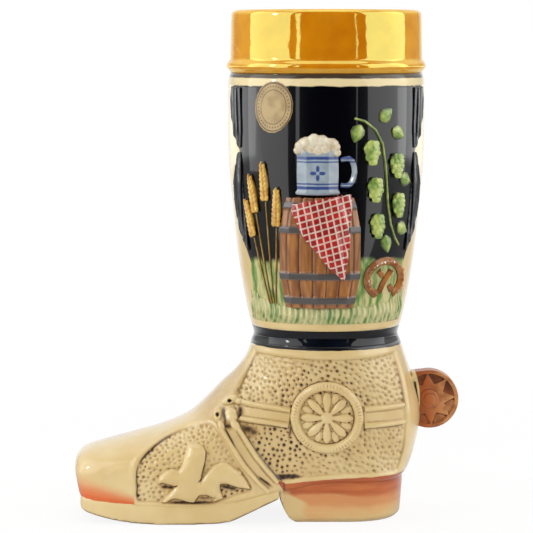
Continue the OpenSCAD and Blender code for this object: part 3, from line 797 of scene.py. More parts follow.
# %% Sprigs with cushions, notches and holes
CUSHION_WIDTH = 5.6 * MM
CUSHION_HEIGHT = 1.3
CUSHION_EDGE = (0.04, 0.5)
CUSHION_STEEP = (0.6, -0.8)
SLOPE_STEP = 0.3 * MM
NOTCHES = 64
NOTCH_BAND = (14.4 * MM, 14.9 * MM, 16.2 * MM, 16.9 * MM)
NOTCH_SINK = 0.3 * MM
KEEPER_HOLES = [(-46.1, 58.4), (-51.8, 52.3)]
HOLE_RADIUS = 1.15 * MM
HOLE_SINK = 1.6 * MM
SPRIG_ROUNDS = 4
HOLLOW_ROUNDS = 14
SEAM_WASH = (-0.4 * MM, 0.35 * MM)
RECESS_WASH = (0.7 * MM, 1.6 * MM)
HOLLOW_WASH = (0.02 * MM, 0.16 * MM)
SEAM_STRENGTH = 0.8
RECESS_STRENGTH = 0.12
FOLD_STRENGTH = 0.9
DENT_STRENGTH = 0.6
# Each row: x and height, half length and half width, turn, and strength
BLOTS = [(-18.5, 22.9, 6.2, 1.3, 0, 1.2), (-36.8, 45.2, 5, 2.6, -24, 0.95), (-43, 63.6, 1.6, 1.7, 0, 0.8),
         (-41, 53.5, 3.2, 1.8, 90, 0.95), (-48.4, 51, 4.8, 1.1, 97, 1), (-46.9, 46.9, 2.4, 1.8, 0, 0.95),
         (-45.8, 41.6, 6.4, 0.7, -61, 1), (-29.4, 20.8, 4.6, 0.8, -37, 1), (-31.6, 21, 5.4, 0.6, -49, 0.9),
         (-17, 46.5, 6.5, 0.9, 80, 0.9), (-64, 10.6, 13, 1, 0, 1.1), (-58.6, 26, 5, 0.7, 74, 0.9),
         (-75.3, 18, 3.8, 1.2, -5, 0.95), (-46.4, 17.8, 4.6, 1.2, -14, 0.95),
         (-57.4, 12.8, 3.6, 0.9, 0, 0.85)]
# Stretches of the fields' borders that kept more wash, in the same form
EDGE_BLOTS = [(-82, 36.6, 12, 3, 40, 0.65), (-90.2, 20, 11, 2, 90, 0.65), (38, 66, 12, 3, 98, 0.55),
              (38, 32, 10, 3, 80, 0.3), (-39, 71, 10, 3, 66, 0.4), (-32, 35, 16, 2, -53, 0.5),
              (-20, 22.4, 8, 3, 0, 0.7)]
# A broad tan darkening over the instep
INSTEP_DARKENING = [(-49, 62, 20, 8, 52, 0.4)]


def side_distance(points, x, z):
    """How far each point lies from a place, as seen from the side."""
    return np.hypot(points[:, 0] - x, points[:, 2] - z)


def blots(points, rows):
    """How much wash was left at each place."""
    x, z = points[:, 0] / MM, points[:, 2] / MM
    left = np.zeros(len(points))
    for at_x, at_z, long, wide, turn, strength in rows:
        c, s = cos_sin(turn)
        ahead = ((x - at_x) * c + (z - at_z) * s) / long
        aside = ((z - at_z) * c - (x - at_x) * s) / wide
        left = np.maximum(left, strength * np.exp(-ahead ** 4 - aside ** 2))
    return left


def swollen(lily):
    """A cushion with a steep edge behind and below. Elsewhere it runs out into the ground."""
    points = points_of(lily)
    flat = points[:, [0, 2]]
    heights, normals = heights_over(shoe_skin, points)
    inside = depth_inside(flat, lily_line)
    steep = np.zeros(len(points))
    for axis, share in enumerate(CUSHION_STEEP):
        step = SLOPE_STEP * np.eye(2)[axis]
        slope = depth_inside(flat + step, lily_line) - depth_inside(flat - step, lily_line)
        steep -= share * slope / (2 * SLOPE_STEP)
    edge = CUSHION_EDGE[0] + (CUSHION_EDGE[1] - CUSHION_EDGE[0]) * soft_step(steep, -0.3, 0.7)
    full = np.sqrt(1 - (1 - np.clip(inside / CUSHION_WIDTH, 0, 1)) ** 2)
    rise = np.maximum(heights, 0) * (CUSHION_HEIGHT * (edge + (1 - edge) * full) - 1)
    set_points(lily, points + rise[:, None] * normals)


def notches(piece):
    points = points_of(piece)
    radius = side_distance(points, 0, ROSETTE_Z * MM)
    angle = np.arctan2(points[:, 2] - ROSETTE_Z * MM, points[:, 0])
    band = soft_step(radius, *NOTCH_BAND[:2]) * (1 - soft_step(radius, *NOTCH_BAND[2:]))
    uneven = 0.3 + 0.7 * np.sin(2.5 * angle + 1) ** 2
    return NOTCH_SINK * band * uneven * np.clip(np.cos(NOTCHES * angle), 0, 1)


def holes(piece):
    points = points_of(piece)
    sunk = np.zeros(len(points))
    for x, z in KEEPER_HOLES:
        away = side_distance(points, x * MM, z * MM)
        sunk = np.maximum(sunk, HOLE_SINK * np.clip(1 - (away / HOLE_RADIUS) ** 2, 0, 1))
    return sunk


DENTS = {"rosette_ring": notches, "strap_tabs": holes}
SMOOTHING = {"vamp_scroll": 10, "rosette_ring": 8}
STAINED_FOLDS = {"rosette_flower": 0.75, "rear_strap": 0.5, "front_strap": 0.55, "sole_strap": 0.6,
                 "strap_tabs": 0.6}
STAINED_SEAM = {"vamp_scroll": 0.1, "rosette_ring": 0.55, "strap_tabs": 0.35}
shoe_sprigs = []
for side, y_sign in SIDES.items():
    for name in ("rosette_ring", "rosette_flower", "rear_strap", "front_strap", "sole_strap", "strap_tabs",
                 "vamp_scroll"):
        node = f"{side}_{name}"
        if name == "rosette_flower":
            sprig = side_balls(f"{node}_fired", flower_rows(), y_sign)
        elif name == "strap_tabs":
            sprig = side_balls(f"{node}_fired", KEEPERS, y_sign)
        else:
            sprig = pushed_in(node, shoe_skin)
        melted(sprig, rounds=SMOOTHING.get(name, SPRIG_ROUNDS))
        if name == "vamp_scroll":
            swollen(sprig)
            melted(sprig, rounds=SPRIG_ROUNDS)
        points = points_of(sprig)
        heights, _ = heights_over(shoe_skin, points)
        seam = STAINED_SEAM.get(name, SEAM_STRENGTH) * (1 - soft_step(heights, *SEAM_WASH))
        low = 1 - soft_step(heights, *RECESS_WASH)
        recess = RECESS_STRENGTH * low * ("strap" in name)
        folds = soft_step(hollows(sprig, HOLLOW_ROUNDS), *HOLLOW_WASH)
        folds *= STAINED_FOLDS.get(name, FOLD_STRENGTH)
        wash = np.max([seam, recess, low * blots(points, BLOTS), folds], axis=0)
        if name in DENTS:
            sunk = DENTS[name](sprig)
            set_points(sprig, points - sunk[:, None] * normals_of(sprig))
            wash = np.maximum(wash, np.clip(DENT_STRENGTH * sunk / NOTCH_SINK, 0, 1))
        keep_number(sprig, "wash", wash)
        hand_in(sprig, node, "cream_glaze", cream_stoneware)
        shoe_sprigs.append((name, sprig))

# %% [markdown]
# ## The shoe
#
# The shoe is a hollow shell with smooth borders and sunk fields full of little pits. It is lofted
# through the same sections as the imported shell, only finer: a flat grid is rolled up, one row of points
# per section, up the outside and back down the inside. The sections fan out at the heel, so they are
# spaced by how far their faster end has moved. Only the fields need fine faces, so only those are
# subdivided further. Then the points of the fields move in: a little everywhere, and more in the pits,
# which are strewn at random but keep their distance, as a potter's tool would set them.

# %% Fields on the shoe's sides
COUNTER_FIELD = [(-34.6, 79.4), (-33.4, 81), (-31.4, 80.9), (-18, 80.1), (0, 79.8), (18, 80.2),
                 (30, 81.1), (32, 81.2), (32.8, 79.6), (36.4, 66), (38.4, 50), (37.6, 36), (34.6, 25.6),
                 (33, 24.6), (20, 24.2), (0, 23.4), (-19, 21.6), (-22.4, 21.2), (-33.4, 34.7),
                 (-43, 47.9), (-44.8, 56), (-42.4, 62.8)]
VAMP_FIELD = [(-53.2, 46.6), (-60.7, 47), (-68, 45), (-75.9, 41.4), (-82.8, 36.8), (-88.4, 31),
              (-90.4, 25.5), (-90.4, 18), (-89.6, 11.4), (-82.3, 10.7), (-70, 10.2), (-56.6, 9.8),
              (-48, 12), (-41.5, 14.6), (-35.2, 17.2), (-43.5, 31)]
KEEPERS_AT = (-47 * MM, 53 * MM)
KEEPERS_REACH = 10 * MM
field_lines = [closed_curve(corners) * MM for corners in (COUNTER_FIELD, VAMP_FIELD)]


def field_depth(points, normals):
    """How far inside a sunk field each point lies, on the outer skin of either side."""
    depth = np.max([depth_inside(points[:, [0, 2]], line) for line in field_lines], axis=0)
    return np.where(normals[:, 1] * points[:, 1] > 0, depth, -1.0)


def by_keepers(points, normals):
    """Whether each point lies round the strap keepers, on the outer skin of either side."""
    near = side_distance(points, *KEEPERS_AT) < KEEPERS_REACH
    return near & (normals[:, 1] * points[:, 1] > 0)


print("fields:", [len(line) for line in field_lines], "points")

# %% The shoe's shell with fine faces in the fields
# Each row is a slanted section: top x and z, bottom x and z, half width, and how square its two halves are
SHOE_STATIONS = np.array([
    (-120.8, 25.5, -118.8, 15, 13, 2.2, 3), (-120, 29.5, -117.6, 11, 18, 2.4, 5),
    (-115.8, 33.2, -114.6, 9.7, 22, 2.4, 10), (-106, 36.3, -106, 9, 25.5, 2.3, 18),
    (-92, 40.2, -93, 8.2, 28, 2.2, 20), (-77, 44.7, -78, 7.8, 29.3, 2.1, 20),
    (-65.8, 50, -60, 7.8, 29.5, 2.1, 20), (-57.8, 57, -42, 9.5, 29, 2.1, 20),
    (-50, 65, -22, 14.8, 28, 2.1, 20), (-44.5, 70, 0, 19, 28.5, 2.1, 16),
    (-41, 74, 22, 19, 30, 2.1, 8), (-38.8, 77, 37.6, 21.5, 31.5, 2.1, 3),
    (-37.4, 80, 44, 38, 33, 2.05, 2.3), (-36.6, 82.3, 45.6, 52, 34, 2, 2),
    (-36.1, 84, 41.3, 69, 34.9, 2, 2), (-35.8, 85.5, 35.8, 85.5, 35.8, 2, 2)])
SHOE_WALL = 5
CAVITY_TOE = 0.15
AROUND = 112
OUTER_RINGS = 128
INNER_RINGS = 24
TOE_SHARES = (0.02, 0.3, 0.6, 0.85)
FIELD_MARGIN = 2.6 * MM


def station(u):
    last = len(SHOE_STATIONS) - 1
    i = min(int(u * last), last - 1)
    rows = [SHOE_STATIONS[min(max(k, 0), last)] for k in range(i - 1, i + 3)]
    return between(*rows, u * last - i)


def shoe_ring(u, inset):
    """One section of the shoe, in by an inset: half an oval above and nearly half a box below."""
    row = station(u)
    top, bottom = row[0:2], row[2:4]
    half = (top - bottom) / 2
    half = half * (1 - inset / np.linalg.norm(half))
    angle = np.linspace(0, math.tau, AROUND + 1)
    c, s = np.cos(angle), np.sin(angle)
    square = np.where(c > 0, row[5], row[6])
    reach = (np.abs(c) ** square + np.abs(s) ** square) ** (-1 / square)
    x, z = ((top + bottom) / 2)[:, None] + half[:, None] * c * reach
    return np.stack([x, (row[4] - inset) * s * reach, z], 1) * MM


shares = np.linspace(0, 1, 400)
moves = np.diff([station(u)[:4] for u in shares], axis=0)
fastest = np.maximum(np.hypot(moves[:, 0], moves[:, 1]), np.hypot(moves[:, 2], moves[:, 3]))
travelled = np.concatenate([[0], np.cumsum(fastest)])
even_shares = np.interp(np.linspace(0, travelled[-1], OUTER_RINGS + 1), travelled, shares)
toe_edge = shoe_ring(0, 0)
toe_middle = toe_edge.mean(0)
outer = [toe_middle + share * (toe_edge - toe_middle) for share in TOE_SHARES]
outer += [shoe_ring(u, 0) for u in even_shares]
inner = [shoe_ring(u, SHOE_WALL) for u in np.linspace(1, CAVITY_TOE, INNER_RINGS + 1)]

bpy.ops.object.select_all(action="DESELECT")
bpy.ops.mesh.primitive_grid_add(x_subdivisions=AROUND, y_subdivisions=len(outer) + len(inner) - 1)
foot = bpy.context.object
foot.name = "foot_fired"
set_points(foot, np.concatenate(outer + inner))
is_inner = np.arange(len(foot.data.polygons)) >= AROUND * len(outer)
foot.data.polygons.foreach_set("material_index", is_inner.astype(np.int32))
edit_all(foot)
bpy.ops.mesh.remove_doubles(threshold=MERGE_GAP)
bpy.ops.mesh.fill_holes(sides=0)
bpy.ops.mesh.select_all(action="SELECT")
bpy.ops.mesh.normals_make_consistent(inside=False)
bpy.ops.object.mode_set(mode="OBJECT")
print("shoe's ends:", sum(len(face.vertices) > 4 for face in foot.data.polygons))

centres = np.array([face.center for face in foot.data.polygons])
facing = np.array([face.normal for face in foot.data.polygons])
in_field = (field_depth(centres, facing) > -FIELD_MARGIN) | by_keepers(centres, facing)
edit_all(foot)
bpy.ops.mesh.select_all(action="DESELECT")
bpy.ops.mesh.select_mode(type="FACE")
bpy.ops.object.mode_set(mode="OBJECT")
foot.data.polygons.foreach_set("select", in_field)
bpy.ops.object.mode_set(mode="EDIT")
bpy.ops.mesh.subdivide(number_cuts=2)
bpy.ops.object.mode_set(mode="OBJECT")
print("shoe:", len(foot.data.vertices), "points,", int(in_field.sum()), "faces made fine")

# %% Sink the fields and strew the pits
FIELD_SINK = 0.8 * MM
ROLL_RISE = 0.35 * MM
PIT_GAP = 2.1 * MM
PIT_RADIUS = 1.1 * MM
PIT_SINK = 1.0 * MM
PIT_MARGIN = 0.9 * MM
PIT_SEED = 5
PIT_SIZES = (0.6, 1.2)
PIT_STAINS = (0.25, 0.85)
# Each row: x and height, inner and outer radius, and strength
WASH_PATCHES = ((-3, ROSETTE_Z + 2, 19, 27, 0.4), (-24, 35, 8, 18, 0.65), (-45, 16, 5, 8, 0.8))
WIPED_STRENGTH = 0.3
WIPED_SLOPE = 0.5
WIPED_FROM = (78, 92)
VAMP_SLOPE = 1.35
VAMP_WIPED = 0.3
TOE_STRENGTH = 0.45
TOE_WASH = (-88, -72)


def tree_of(points):
    """The points sorted for quick searches."""
    tree = KDTree(len(points))
    for i, point in enumerate(points):
        tree.insert(point, i)
    tree.balance()
    return tree


def strewn(points, gap, seed):
    """Points picked at random that keep a gap between them."""
    tree = tree_of(points)
    free = np.ones(len(points), bool)
    chosen = []
    for i in np.random.default_rng(seed).permutation(len(points)):
        if free[i]:
            chosen.append(points[i])
            for _, j, _ in tree.find_range(points[i], gap):
                free[j] = False
    return np.array(chosen)


def nearest_gap(points, targets):
    """Each point's distance to the nearest target, and which one that is."""
    tree = tree_of(targets)
    found = [tree.find(point)[1:] for point in points]
    return np.array([gap for _, gap in found]), np.array([i for i, _ in found])


def pit_wash(places):
    """More wash stayed round the rosette, in the corner below it, by the lily's foot and at the toe."""
    x, z = places[:, 0] / MM, places[:, 2] / MM
    patches = []
    for at_x, at_z, inner, outer, strength in WASH_PATCHES:
        away = side_distance(places, at_x * MM, at_z * MM) / MM
        patches.append(strength * (1 - soft_step(away, inner, outer)))
    round_rosette, low_corner, by_lily = patches
    wiped = WIPED_STRENGTH * soft_step(z - x * WIPED_SLOPE, *WIPED_FROM)
    on_vamp = (x < -34) & (z < 48) & (z < 24 - (x + 38) * VAMP_SLOPE)
    by_toe = TOE_STRENGTH * (1 - soft_step(x, *TOE_WASH)) - VAMP_WIPED + by_lily
    return np.where(on_vamp, by_toe, round_rosette + low_corner - wiped)


points = points_of(foot)
normals = normals_of(foot)
depth = field_depth(points, normals)
fine = depth > -FIELD_MARGIN
pits = strewn(points[depth > PIT_MARGIN], PIT_GAP, PIT_SEED)
dice = np.random.default_rng(PIT_SEED)
pit_sizes = dice.uniform(*PIT_SIZES, len(pits)) * PIT_RADIUS
pit_stains = dice.uniform(*PIT_STAINS, len(pits)) + pit_wash(pits)
gap, which = nearest_gap(points[fine], pits)
bowl = np.zeros(len(points))
bowl[fine] = np.clip(1 - (gap / pit_sizes[which]) ** 2, 0, 1) ** 1.5
stain = np.zeros(len(points))
stain[fine] = bowl[fine] ** 0.7 * np.clip(pit_stains[which], 0.15, 1.2)
roll = np.exp(-((depth + 1.3 * MM) / MM) ** 2)
sunk = FIELD_SINK * soft_step(depth, -0.5 * MM, 0.9 * MM) + PIT_SINK * bowl - ROLL_RISE * roll
set_points(foot, points - sunk[:, None] * normals)
print("pits:", len(pits))

# %% [markdown]
# The wash collects in the pits and in the corner along each field's border. Beside every sprig lie wash and
# painted shade, heavier on one side of each sprig. The foot stores that as one number per point. The rest
# is brushed on by place: navy down to a line below the ankle band, the toe's orange stripe, and the heel's
# red, which runs up over the seam and has left a dab at the strap's end.

# %% Wash and painted shade on the shoe
CORNER_WIDTH = 0.5 * MM
SPRIG_SHADOW = 1.3 * MM
# The side on which each sprig has more wash and painted shade beside it: away from the toe, and up
STAINED_AND_SHADED_SIDE = {"vamp_scroll": (0.6, -0.8), "rosette_ring": (-0.9, 0.4), "front_strap": (0, -1),
                "rear_strap": (0, -1), "sole_strap": (0.8, 0.6)}
WIPED_SIDE = {"vamp_scroll": 0.05}
WIPED_ELSEWHERE = 0.35
FULL_WASH_AND_SHADE = 0.95

# Beside each sprig: wash and painted shade, heavier on the side that the table gives.
beside = np.zeros(len(points))
for name, sprig in shoe_sprigs:
    skin = skin_of(sprig)
    side_x, side_z = STAINED_AND_SHADED_SIDE.get(name, (0, 0))
    wiped = WIPED_SIDE.get(name, WIPED_ELSEWHERE)
    for i in np.flatnonzero(fine):
        spot, normal, _, gap = skin.find_nearest(Vector(points[i]), SPRIG_SHADOW)
        if spot is not None:
            turned_to = soft_step(normal.x * side_x + normal.z * side_z, -0.3, 0.6)
            strength = wiped + (FULL_WASH_AND_SHADE - wiped) * turned_to
            beside[i] = max(beside[i], strength * (1 - gap / SPRIG_SHADOW))
corner = np.exp(-((depth - CORNER_WIDTH) / CORNER_WIDTH) ** 2)
film_and_shade = (0.1 + 0.1 * soft_step(points[:, 0], -40 * MM, -30 * MM)) * soft_step(depth, 0, MM)
corner *= 0.4 + blots(points, EDGE_BLOTS)
open_to_blots = np.maximum(soft_step(depth, -0.8 * MM, 0.1 * MM), by_keepers(points, normals))
blotted = blots(points, BLOTS) * open_to_blots
washes_and_shade = [stain, corner, beside, film_and_shade, blotted, blots(points, INSTEP_DARKENING)]
keep_number(foot, "wash", np.max(washes_and_shade, axis=0))
print("washed points:", int((beside > 0).sum()))

# %% Brushed colours on the shoe and the heel
ORANGE = (0.71, 0.115, 0.008)
DAB_RED = (0.38, 0.05, 0.02)
TOE_STRIPE_END = -91
TOE_STRIPE_LOW = 8.4
TOE_STRIPE_CLIMB = 0.09
NAVY_DOWN_TO = 83.9
HEEL_RED = (0.42, 0.075, 0.012)
HEEL_RUST = (0.58, 0.16, 0.030)
HEEL_ORANGE = (0.64, 0.27, 0.085)
HEEL_TAN = (0.70, 0.38, 0.14)
RED_EDGE = 13.5
ORANGE_EDGE = 7.5
HEEL_FRONT = -20.0
BARE_CORNER = 8.5
DAB_TIP = (-23.9, 21.5)
DAB_SLOPES = (1.57, 0.34)
HEEL_LINE_AT = 21.5
HEEL_LINE_SLOPE = 0.086
HEEL_LINE_BOW = 0.001
CRACK_FOOT = (13, 14)
CRACK_TOP = (19.6, 20.4)


def heel_stain(place):
    """Level brush strokes: red above, orange and then tan below, and cream in the low front corner."""
    x, z = mm_along(place, "XZ")
    strokes = cloud(place, 5 * MM, 5, (0.14, 0.14, 1))
    patches = cloud(place, 16 * MM, 3)
    red = strokes.rise(0.35, 0.68).mix(HEEL_RED, HEEL_RUST)
    tan = strokes.rise(0.3, 0.7).mix(HEEL_TAN, CREAM)
    streaks = (strokes - 0.5) * 12 + (patches - 0.5) * 5
    stained_and_shaded = (z - ORANGE_EDGE + streaks).rise(-2.5, 2.5).mix(tan, HEEL_ORANGE)
    stained_and_shaded = (z - RED_EDGE + streaks * 0.8).rise(-1.5, 1.5).mix(stained_and_shaded, red)
    corner = BARE_CORNER * (1 - z.rise(9, 15)) + HEEL_FRONT + 2
    bare = (corner - x + streaks * 0.5).rise(-2, 2) * (1 - z.rise(13, 17))
    return bare.mix(stained_and_shaded, CREAM)


def toe_stripe(place, x, z):
    """How much orange lies above the sole's edge round the toe: dense below, fading upwards."""
    forward = TOE_STRIPE_END - x
    above = z - TOE_STRIPE_LOW - forward * TOE_STRIPE_CLIMB
    brushed = cloud(place, 4 * MM, 4, (0.3, 0.3, 1)) * 2
    dense = 1 - (above - forward * 0.03).rise(2.0, 3.6)
    thin = (1 - (above / (2.7 + forward * 0.135 + brushed)).rise(0.4, 1.9)) * 0.92
    return (dense | thin) * forward.rise(-0.4, 0.6)


def shoe_overpaint(place, colour):
    x, z = mm_along(place, "XZ")
    wobble = (cloud(place, 7 * MM, 2) - 0.5) * 0.8
    painted = (toe_stripe(place, x, z) * 0.95).mix(colour, ORANGE)
    painted = (z - NAVY_DOWN_TO + wobble).rise(-0.12, 0.12).mix(painted, NAVY)
    heel_line = HEEL_LINE_AT + HEEL_LINE_SLOPE * x - HEEL_LINE_BOW * x * x + wobble
    on_heel = (heel_line - z).rise(-0.2, 0.2) * (x - HEEL_FRONT).rise(-0.2, 0.2)
    painted = on_heel.mix(painted, heel_stain(place))
    from_tip = x - DAB_TIP[0]
    over = (z - DAB_TIP[1] + from_tip * DAB_SLOPES[0]).rise(-0.2, 0.2)
    dab = over * (DAB_TIP[1] - DAB_SLOPES[1] * from_tip - z).rise(-0.2, 0.2)
    painted = (dab * (HEEL_FRONT - x).rise(-0.15, 0.15) * 0.9).mix(painted, DAB_RED)
    crack = 1 - abs(x - HEEL_FRONT + wobble).rise(0.2, 0.6)
    crack = crack * z.rise(*CRACK_FOOT) * (1 - z.rise(*CRACK_TOP))
    return (crack * 0.75).mix(painted, WASH_AND_SHADE_DARK)


foot_glaze = stoneware("shoe_stoneware", shoe_overpaint)
hand_in(foot, "foot", "cream_glaze", foot_glaze, inside_glaze)

# %% [markdown]
# ## Sole and heel
#
# Both are slabs of clay under the shoe. The imported slabs get soft edges by a voxel remesh. Their tops go
# up into the shoe's wall first, so that no gap shows along the seam, and the sole's sides are pared flush
# with the shoe. Painted shade darkens the undersides and the heel's front. The heel has the shoe's red
# strokes over a tan coat.

# %% Sole
SLAB_VOXEL = 0.7 * MM
SOLE_RISE = 1.7 * MM
HEEL_RISE = 2.6 * MM
PARED = 0.28 * MM
PARED_FROM = (-95 * MM, -85 * MM)
SLAB_ROUNDS = 8
LOOKS_UP = 0.3


def slab(node, rise, pared, front_shade):
    """A soft copy of a slab that reaches up into the shoe."""
    piece = bench_copy(node)
    points = points_of(piece)
    points[:, 2] += np.where(normals_of(piece)[:, 2] > LOOKS_UP, rise, 0)
    set_points(piece, points)
    melted(piece, SLAB_VOXEL, SLAB_ROUNDS)
    points = points_of(piece)
    points[:, 1] -= np.sign(points[:, 1]) * pared * soft_step(points[:, 0], *PARED_FROM)
    points[:, 2] = np.maximum(points[:, 2], 0)
    set_points(piece, points)
    normals = normals_of(piece)
    # Painted shade: dark on faces that look down, and on the heel's front, which faces the toe.
    under = 0.85 * soft_step(-normals[:, 2], 0.05, 0.6)
    keep_number(piece, "wash", np.maximum(under, front_shade * soft_step(-normals[:, 0], 0.2, 0.6)))
    return piece


hand_in(slab("sole", SOLE_RISE, PARED, 0), "sole", "cream_glaze", cream_stoneware)

# %% Heel with brushed stain
def heel_overpaint(place, colour):
    [x] = mm_along(place, "X")
    return (HEEL_FRONT - 0.5 - x).rise(-0.4, 0.8).mix(heel_stain(place), colour)


hand_in(slab("heel", HEEL_RISE, 0, 0.9), "heel", "heel_brown", stoneware("heel_stoneware", heel_overpaint))

# %% [markdown]
# ## Spur
#
# The rowel is a lug that was moulded with its star, rim and hub in low relief. Brown stain was brushed over
# all of it and wiped, more so at the back, so that it goes from red-brown to tan. Dark lines stay round the
# star, which sits a little turned in its rim. Painted shade makes the recesses and the hub's grooves darker
# towards the top and the lines darker on walls that face down. The root on the shoe is left bare, with a
# dark slot painted in it as the shade of a gap.

# %% Spur with wiped stain and painted shade
SPUR_VOXEL = 0.32 * MM
SPUR_RED = (0.40, 0.085, 0.014)
SPUR_TAN = (0.58, 0.27, 0.10)
SPUR_BROWN = (0.27, 0.075, 0.020)
SPUR_DARK = (0.040, 0.014, 0.006)
SPUR_FACE = 5 * MM
# The root's bowed edge and its dark slot, which is painted shade: x and height, then how bowed or how
# slanted
ROOT_EDGE = (45.4, 57, 0.0135)
ROOT_SLOT = (43.7, 60, 0.15)
SLOT_WIDTH = (0.35, 0.75)
SLOT_ENDS = (4.6, 5.4)
STAR_TURN = math.radians(5)
STAR_ENDS = (2.6 * MM, 1.0 * MM)
RIM_WIDTH = 1.2 * MM
RECESS_DEPTH = (0.35 * MM, 1.0 * MM)
LINE_DEPTH = (0.03 * MM, 0.24 * MM)
LINE_ROUNDS = 10
HUB_GROOVES = (2.8 * MM, 4.8 * MM)
HUB_LINE = 0.4 * MM
SPUR_GLOSS = {"Roughness": 0.45, "Coat_Weight": 0.4, "Coat_Roughness": 0.2, "Specular_IOR_Level": 0.3}


def spur_paint(flow):
    place = place_of(flow)
    x, z = mm_along(place, "XZ")
    wash_and_shade_amount = number(flow, "wash")
    brushed = cloud(place, 4 * MM, 4)
    back = (x + (brushed - 0.5) * 8).rise(45, 60)
    wiped = (brushed.rise(0.35, 0.7) * 0.75).mix(back.mix(SPUR_RED, SPUR_TAN), SPUR_BROWN)
    film_and_shade = wash_and_shade_amount.rise(0.1, 0.6).mix(wiped, SPUR_BROWN)
    stained_and_shaded = (wash_and_shade_amount * (0.6 + 0.8 * cloud(place, 3 * MM, 3))).rise(0.45, 0.95).mix(film_and_shade, SPUR_DARK)
    edge_x, edge_z, bow = ROOT_EDGE
    root = (edge_x - bow * (edge_z - z) ** 2 - x).rise(-0.25, 0.25)
    # The dark slot is painted shade in place of a gap at the spur's root.
    slot_x, slot_z, slant = ROOT_SLOT
    slot = 1 - abs(x - slot_x - slant * (slot_z - z)).rise(*SLOT_WIDTH)
    slot = slot * (1 - abs(z - slot_z).rise(*SLOT_ENDS))
    colour = slot.mix(root.mix(stained_and_shaded, CREAM_PALE), WASH_AND_SHADE_DARK)
    return {"Base Color": colour, "Normal": uneven(place, 4 * MM, 0.08 * MM)}


spur = melted(bench_copy("spur"), SPUR_VOXEL, 3)
points = points_of(spur)
low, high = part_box("spur")
disc = (high.z - low.z) / 2
middle = np.array([high.x - disc, 0, (high.z + low.z) / 2])
from_hub = side_distance(points, middle[0], middle[2])
lines = soft_step(hollows(spur, LINE_ROUNDS), *LINE_DEPTH)
recessed = soft_step(SPUR_FACE - np.abs(points[:, 1]), *RECESS_DEPTH) * (from_hub < disc - RIM_WIDTH)
turn = STAR_TURN * (1 - soft_step(from_hub, disc - STAR_ENDS[0], disc - STAR_ENDS[1]))
out, up = points[:, 0] - middle[0], points[:, 2] - middle[2]
points[:, 0] = middle[0] + out * np.cos(turn) - up * np.sin(turn)
points[:, 2] = middle[2] + out * np.sin(turn) + up * np.cos(turn)
set_points(spur, points)
# Painted shade: the recesses and hub grooves darker towards the top, the lines darker on walls that face
# down.
upper = soft_step(points[:, 2] - middle[2], -3 * MM, 6 * MM)
facing_down = soft_step(-normals_of(spur)[:, 2], -0.1, 0.35)
grooves = np.max([np.exp(-((from_hub - radius) / HUB_LINE) ** 2) for radius in HUB_GROOVES], axis=0)
washes_and_shade = [(0.2 + 0.5 * upper) * recessed, (0.45 + 0.55 * facing_down) * lines,
          (0.15 + 0.6 * upper) * grooves]
keep_number(spur, "wash", np.max(washes_and_shade, axis=0))
hand_in(spur, "spur", "spur_brown", new_finish("spur_stain", spur_paint, **SPUR_GLOSS))

# %% [markdown]
# ## The picture on the leg
#
# A still life lies on each panel: a barrel with a cloth and a mug, a sheaf of barley, a hop bine and a
# pretzel on a meadow, between gathered curtains. They are sprigs as well, so they are pushed into the
# leg and melted. What is small and many, such as grains, scales and salt, is a ball that is modelled
# once, flattened, copied to its places and melted together with its sprig.

# %% Places on the leg
leg_skin = packed_skin("leg")
LINE_DARK = (0.030, 0.018, 0.010)
# How fine each sprig of the picture is melted, and with how many rounds of smoothing
PICTURE_MELT = {"panel_drapes": (0.4 * MM, 2), "meadow": (0.35 * MM, 2), "barrel": (0.36 * MM, 2),
                "cloth": (0.3 * MM, 3), "mug": (0.3 * MM, 2), "barley": (0.28 * MM, 1),
                "hops": (0.28 * MM, 1), "pretzel": (0.26 * MM, 2)}


def leg_radius(z):
    return leg_skin.ray_cast(Vector((OUTSIDE, RAY_SIDE, z * MM)), -ROUND_X)[0].x / MM


def leg_frame(a, z, side):
    """The point on the leg at an arc length and a height, and the directions across, up and out there."""
    radius = leg_radius(z)
    turn = a / radius
    out = np.array([math.sin(turn), side * math.cos(turn), 0])
    across = np.array([math.cos(turn), -side * math.sin(turn), 0])
    return out * radius + np.array([0, 0, z]), across, np.array([0, 0, 1.0]), out


def arc_places(points):
    """Arc length from the panel's middle and height of each point, in millimetres."""
    x, y, z = points.T / MM
    return np.arctan2(x, np.abs(y)) * np.hypot(x, y), z


def add_balls(piece, rows, side):
    """Join balls to a piece. Each row: place, tilt in degrees, height of its middle, three half sizes."""
    placed = []
    for a, z, tilt, lift, long, wide, thick in rows:
        spot, across, up, out = leg_frame(a, z, side)
        c, s = cos_sin(tilt)
        axes = np.array([long * (c * up - s * across), wide * (c * across + s * up), thick * out])
        placed.append((spot + lift * out, axes, 0))
    balls = clay_balls("balls", placed)
    take_up(balls)
    piece.select_set(True)
    bpy.context.view_layer.objects.active = piece
    bpy.ops.object.join()


def on_leg(side, name, balls=(), skin=leg_skin, back_gap=BACK_GAP):
    """A sprig of the picture, pushed in and melted together with its balls."""
    piece = pushed_in(f"{side}_{name}", skin, back_gap)
    if balls:
        add_balls(piece, balls, SIDES[side])
    return melted(piece, *PICTURE_MELT[name])


def move_in(piece, sunk):
    set_points(piece, points_of(piece) - sunk[:, None] * normals_of(piece))


def wash_low_down(piece, low, high):
    """Wash where a sprig lies low on the leg. Its points' heights are given back."""
    heights, _ = heights_over(leg_skin, points_of(piece))
    keep_number(piece, "wash", 1 - soft_step(heights, low, high))
    return heights


